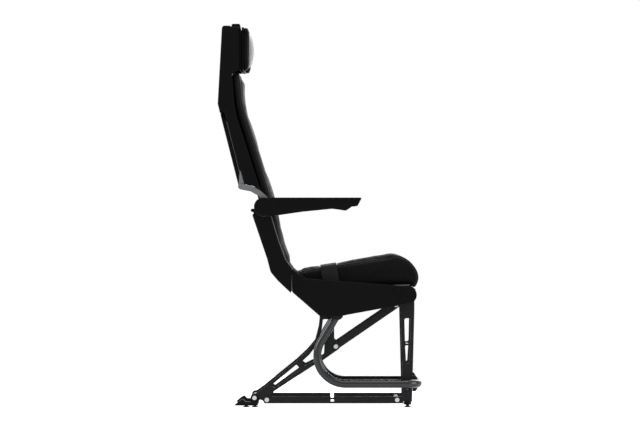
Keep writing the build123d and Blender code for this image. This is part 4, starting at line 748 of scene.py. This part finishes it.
# %% [markdown]
# ## Headrest pillow and wing pads
# The pillow is a small grey pad between two black ones on the hinged wings. They are too thin to
# crown much, and they are glued to their carriers at the rear, so the cloth may only lift the
# front and the sides. Each has a seam near its rear edge and one down each side.

# %% Headrest pillow and wing pads
pad_crown = 0.004
glued_crown = 0.0005
rear_seam_inset = 0.006
pad_seam_inset = 0.012
glue_depth = 0.004
rearward = Vector((0, 1, 0))
pillow_names = ("headrest_pillow", "headrest_pillow_cover", "headrest")
head_pads = [(*pillow_names, grey_leather, "pillow_fabric")]
for side in ("left", "right"):
    wing_names = (f"headrest_pad_{side}", f"headrest_pad_cover_{side}", f"wing_{side}")
    head_pads.append((*wing_names, black_leather, "cushion_leather"))
for node, name, body, skin, slot in head_pads:
    low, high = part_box(node)
    pad = foam_skin(node, name, voxel=0.004, inset=0.0015, resting=rearward)
    swell(pad, lambda point: pad_crown if point.y < high.y - glue_depth else glued_crown)
    pad_seams = [
        lambda point: abs(point.y - (high.y - rear_seam_inset)),
        lambda point: min(
            abs(point.x - low.x - pad_seam_inset), abs(high.x - pad_seam_inset - point.x)
        ),
    ]
    finish_skin(pad, pad_seams, depth=0.0016, width=0.0024)
    pad.data.materials.append(skin)
    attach(pad, body)
    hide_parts(node)

# %% [markdown]
# ## Apron under the back cushion
# The back cushion's cover ends in a leather apron. It hangs behind the seat cushion and closes
# the gap to the frame. It moves with the back, and it has two slots for the forked lever of the
# recline lock. A profile extruded across the seat gives the sheet, two pairs of cuts give the
# slots, and Solidify and Bevel give the leather its thickness and its turned hem.

# %% Flat leather of the apron
# The profile is (y, z) in millimetres, from the cushion's foot downwards.
apron_profile = [(89.5, 421.0), (87.4, 413.0), (86.8, 403.0), (87.0, 394.0)]
apron_profile += [(87.0, 383.2), (86.2, 374.0), (84.4, 364.0)]
apron_half = 0.203
lever_slots = ((0.0600, 0.0650), (0.0710, 0.0760))
slot_top = 0.3832
bm = bmesh.new()
edge_points = [bm.verts.new((-apron_half, y / 1000, z / 1000)) for y, z in apron_profile]
edge_lines = [bm.edges.new(pair) for pair in zip(edge_points, edge_points[1:])]
across = bmesh.ops.extrude_edge_only(bm, edges=edge_lines)
far = [item for item in across["geom"] if isinstance(item, bmesh.types.BMVert)]
bmesh.ops.translate(bm, verts=far, vec=(2 * apron_half, 0.0, 0.0))
long_edges = [e for e in bm.edges if abs(e.verts[0].co.x - e.verts[1].co.x) > apron_half]
bmesh.ops.subdivide_edges(bm, edges=long_edges, cuts=23, use_grid_fill=True)
for cut_x in (x for slot in lever_slots for x in slot):
    everything = bm.verts[:] + bm.edges[:] + bm.faces[:]
    bmesh.ops.bisect_plane(bm, geom=everything, plane_co=(cut_x, 0, 0), plane_no=(1, 0, 0))
middles = [(face, face.calc_center_median()) for face in bm.faces]
in_slots = [
    face
    for face, spot in middles
    if spot.z < slot_top and any(low < spot.x < high for low, high in lever_slots)
]
bmesh.ops.delete(bm, geom=in_slots, context="FACES")
bmesh.ops.recalc_face_normals(bm, faces=bm.faces)
for face in bm.faces:
    face.smooth = True
apron = piece_from(bm, "back_cushion_apron")

# %% Thickness and hem of the apron
leather_wall = 0.0016
apron_wall = apron.modifiers.new("leather_thickness", "SOLIDIFY")
apron_wall.thickness = leather_wall
apron_wall.offset = 0.0
apron_round = apron.modifiers.new("rounded_hem", "BEVEL")
apron_round.width = 0.0006
apron_round.segments = 2
settle(apron)
apron.data.materials.append(black_leather)
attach(apron, "backrest")

# %% [markdown]
# ## Lap belt
# Belt webbing is a flat woven strap, 48 mm wide and about 1.5 mm thick. A simulation would erase
# something so thin, so each strap is drawn as a ribbon along its route. The route is given in a
# frame on the cushion: across the seat, and up off the leather. A subdivision rounds its bends,
# and Solidify gives it its thickness. Its UV map measures metres of strap, for the weave.


# %% Ribbon with a map of its length
# The cushion's top falls 8.8 degrees towards the rear, and the belt's frame is tilted with it.
belt_origin = Vector((0.0, -0.025, 0.423746))
belt_up = Vector((0.0, 0.152904, 0.988241))
belt_across = Vector((0.0, -0.988241, 0.152904))
strap_width = 0.048
strap_thickness = 0.0015


def map_metres(bm, route):
    """Gives each corner its metres along the route and across the strap as UV."""
    uv = bm.loops.layers.uv.new("strap_metres")
    run = [0.0]
    for (x0, up0), (x1, up1) in zip(route, route[1:]):
        run.append(run[-1] + math.hypot(x1 - x0, up1 - up0) / 1000)
    for face in bm.faces:
        for loop in face.loops:
            at = loop.vert.co - belt_origin
            flat = (at.x * 1000, at.dot(belt_up) * 1000)
            nearest = min(range(len(route)), key=lambda i: math.dist(route[i], flat))
            loop[uv].uv = (run[nearest], at.dot(belt_across) + strap_width / 2)


def ribbon(name, route):
    """A strip of strap with no thickness, along a list of (across, up) points in millimetres."""
    bm = bmesh.new()
    edge_verts = []
    for x, up in route:
        middle = belt_origin + Vector((x / 1000, 0, 0)) + belt_up * (up / 1000)
        edge_verts.append(bm.verts.new(middle - belt_across * (strap_width / 2)))
    edges = [bm.edges.new(pair) for pair in zip(edge_verts, edge_verts[1:])]
    wide = bmesh.ops.extrude_edge_only(bm, edges=edges)
    far = [item for item in wide["geom"] if isinstance(item, bmesh.types.BMVert)]
    bmesh.ops.translate(bm, verts=far, vec=belt_across * strap_width)
    rungs = [
        edge
        for edge in bm.edges
        if abs((edge.verts[0].co - edge.verts[1].co).dot(belt_across)) > strap_width / 2
    ]
    bmesh.ops.subdivide_edges(bm, edges=rungs, cuts=3, use_grid_fill=True)
    bmesh.ops.recalc_face_normals(bm, faces=bm.faces)
    map_metres(bm, route)
    for face in bm.faces:
        face.smooth = True
    return piece_from(bm, name)


print("belt frame stands", round(belt_origin.z * 1000), "mm above the floor")


# %% Strap along a route
def strap(name, route, body, node):
    """A woven strap along a route, from the buckle or the tongue to its anchor, in place of node.
    """
    piece = ribbon(name, route)
    rounder = piece.modifiers.new("rounder_bends", "SUBSURF")
    rounder.levels = 2
    rounder.render_levels = 2
    settle(piece)
    wall = piece.modifiers.new("webbing_thickness", "SOLIDIFY")
    wall.thickness = strap_thickness
    wall.offset = 0.0
    settle(piece)
    piece.data.materials.append(belt_weave)
    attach(piece, body)
    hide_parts(node)


def beside_cushion(side):
    """The part of a route over the cushion's rim and down beside it, the same on both sides."""
    near_rim = [(192, 1.6), (206, 2.0), (217, 1.9), (223, 0.4), (226, -4.0)]
    down_side = [(226, -14), (226, -30), (226, -46), (226, -61)]
    return [(x * side, up) for x, up in [*near_rim, *down_side]]


left_route = [(41.5, -8.4), (50, -9.6), (60, -10.9), (68, -11.0), (93, -9.4), (118, -7.4)]
left_route += [(142, -5.0), (167, -2.0), *beside_cushion(1)]
right_route = [(-63.5, -7.8), (-70, -8.6), (-80, -9.4), (-90, -9.6), (-116, -7.6), (-141, -5.1)]
right_route += [(-167, -2.1), *beside_cushion(-1)]
strap("belt_strap_left", left_route, "base", "belt_webbing_left")
strap("belt_strap_right", right_route, "base", "belt_webbing_right")

# %% [markdown]
# ## Stitching
# A cover's seam is sewn down on both sides with thick waxed thread, so a row of stitches runs
# beside the seam, 4 mm from it. A bump could fake them, but short capsules of real thread catch
# the light. Rays shot at the finished cover find where a row lies, and a stitch is set on it at
# every pitch. The thread is drawn 1 mm thick, a little more than the real one, so that it shows.


# %% Capsules of thread along a row
stitch_pitch = 0.0058
stitch_length = 0.0042
thread_half_width = 0.0005
thread_half_height = 0.0004
thread_lift = 0.0002


def stitch_rows(name, rows, body, yarn):
    """Short capsules of thread along each row of (point, normal), one every pitch."""
    bm = bmesh.new()
    size = Matrix.Diagonal((stitch_length / 2, thread_half_width, thread_half_height, 1.0))
    for row in rows:
        travelled = 0.0
        for (a, up), (b, _) in zip(row, row[1:]):
            step = (b - a).length
            travelled += step
            if travelled < stitch_pitch or step < 1e-6:
                continue
            travelled = 0.0
            along = (b - a).normalized()
            side = along.cross(up).normalized()
            turn = Matrix((along, side, up)).transposed().to_4x4()
            place = Matrix.Translation(a + up * thread_lift) @ turn
            ball = bmesh.ops.create_icosphere(bm, subdivisions=1, radius=1.0)
            bmesh.ops.transform(bm, matrix=place @ size, verts=ball["verts"])
    piece = piece_from(bm, name)
    piece.data.materials.append(yarn)
    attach(piece, body)
    print(name, "has", len(piece.data.polygons), "faces")


print("a stitch every", round(stitch_pitch * 1000, 1), "mm")

# %% Rows found by rays
row_gap = 0.0042  # from a seam to the row beside it
row_step = 0.002  # from one ray to the next
above_seat = 0.6  # the height that rays on the bottom cushion start from
before_seat = -0.3  # and how far forward those on the back start


def spread(start, count):
    """The places of count rays along a row."""
    return [start + i * row_step for i in range(count)]


def beside(seams):
    """The places of the two rows beside each seam."""
    return [place for seam in seams for place in (seam - row_gap, seam + row_gap)]


def surface_of(piece):
    """A search tree over a finished cover."""
    return BVHTree.FromObject(piece, bpy.context.evaluated_depsgraph_get())


def row_on(tree, starts, direction):
    """Points and normals where rays meet a cover, for one row of stitches."""
    hits = [tree.ray_cast(start, direction) for start in starts]
    return [(hit[0], hit[1]) for hit in hits if hit[0] is not None]


print("rows lie", round(row_gap * 1000, 1), "mm from their seams")

# %% Thread on the bottom cushion
seat_surface = surface_of(seat_pad)
front_to_rear = spread(start=cushion_low.y + 0.012, count=170)
across_nose = spread(start=-side_seam + 0.008, count=145)
seat_rows = []
for x in beside((side_seam, -side_seam)):
    starts = [Vector((x, y, above_seat)) for y in front_to_rear]
    seat_rows.append(row_on(seat_surface, starts, down))
for y in beside((nose_seam_y,)):
    starts = [Vector((x, y, above_seat)) for x in across_nose]
    seat_rows.append(row_on(seat_surface, starts, down))
stitch_rows("seat_cushion_stitching", seat_rows, "base", thread)

# %% Thread on the back cushion
back_surface = surface_of(back_pad)
up_the_back = spread(start=back_low.z + 0.03, count=275)
across_back = spread(start=-0.14, count=141)
back_rows = []
for x in beside((back_side_seam, -back_side_seam)):
    starts = [Vector((x, before_seat, z)) for z in up_the_back]
    back_rows.append(row_on(back_surface, starts, rearward))
for z in beside(back_cross_seams):
    starts = [Vector((x, before_seat, z)) for x in across_back]
    back_rows.append(row_on(back_surface, starts, rearward))
stitch_rows("back_cushion_stitching", back_rows, "backrest", thread)

# %% Thread on the pillow
pillow_surface = surface_of(bpy.data.objects["headrest_pillow_cover"])
pillow_low, pillow_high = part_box("headrest_pillow")
pillow_row_inset = 0.0165
up_the_pillow = spread(start=pillow_low.z + 0.006, count=58)
pillow_rows = []
for x in (pillow_low.x + pillow_row_inset, pillow_high.x - pillow_row_inset):
    starts = [Vector((x, before_seat, z)) for z in up_the_pillow]
    pillow_rows.append(row_on(pillow_surface, starts, rearward))
stitch_rows("headrest_pillow_stitching", pillow_rows, "headrest", grey_thread)
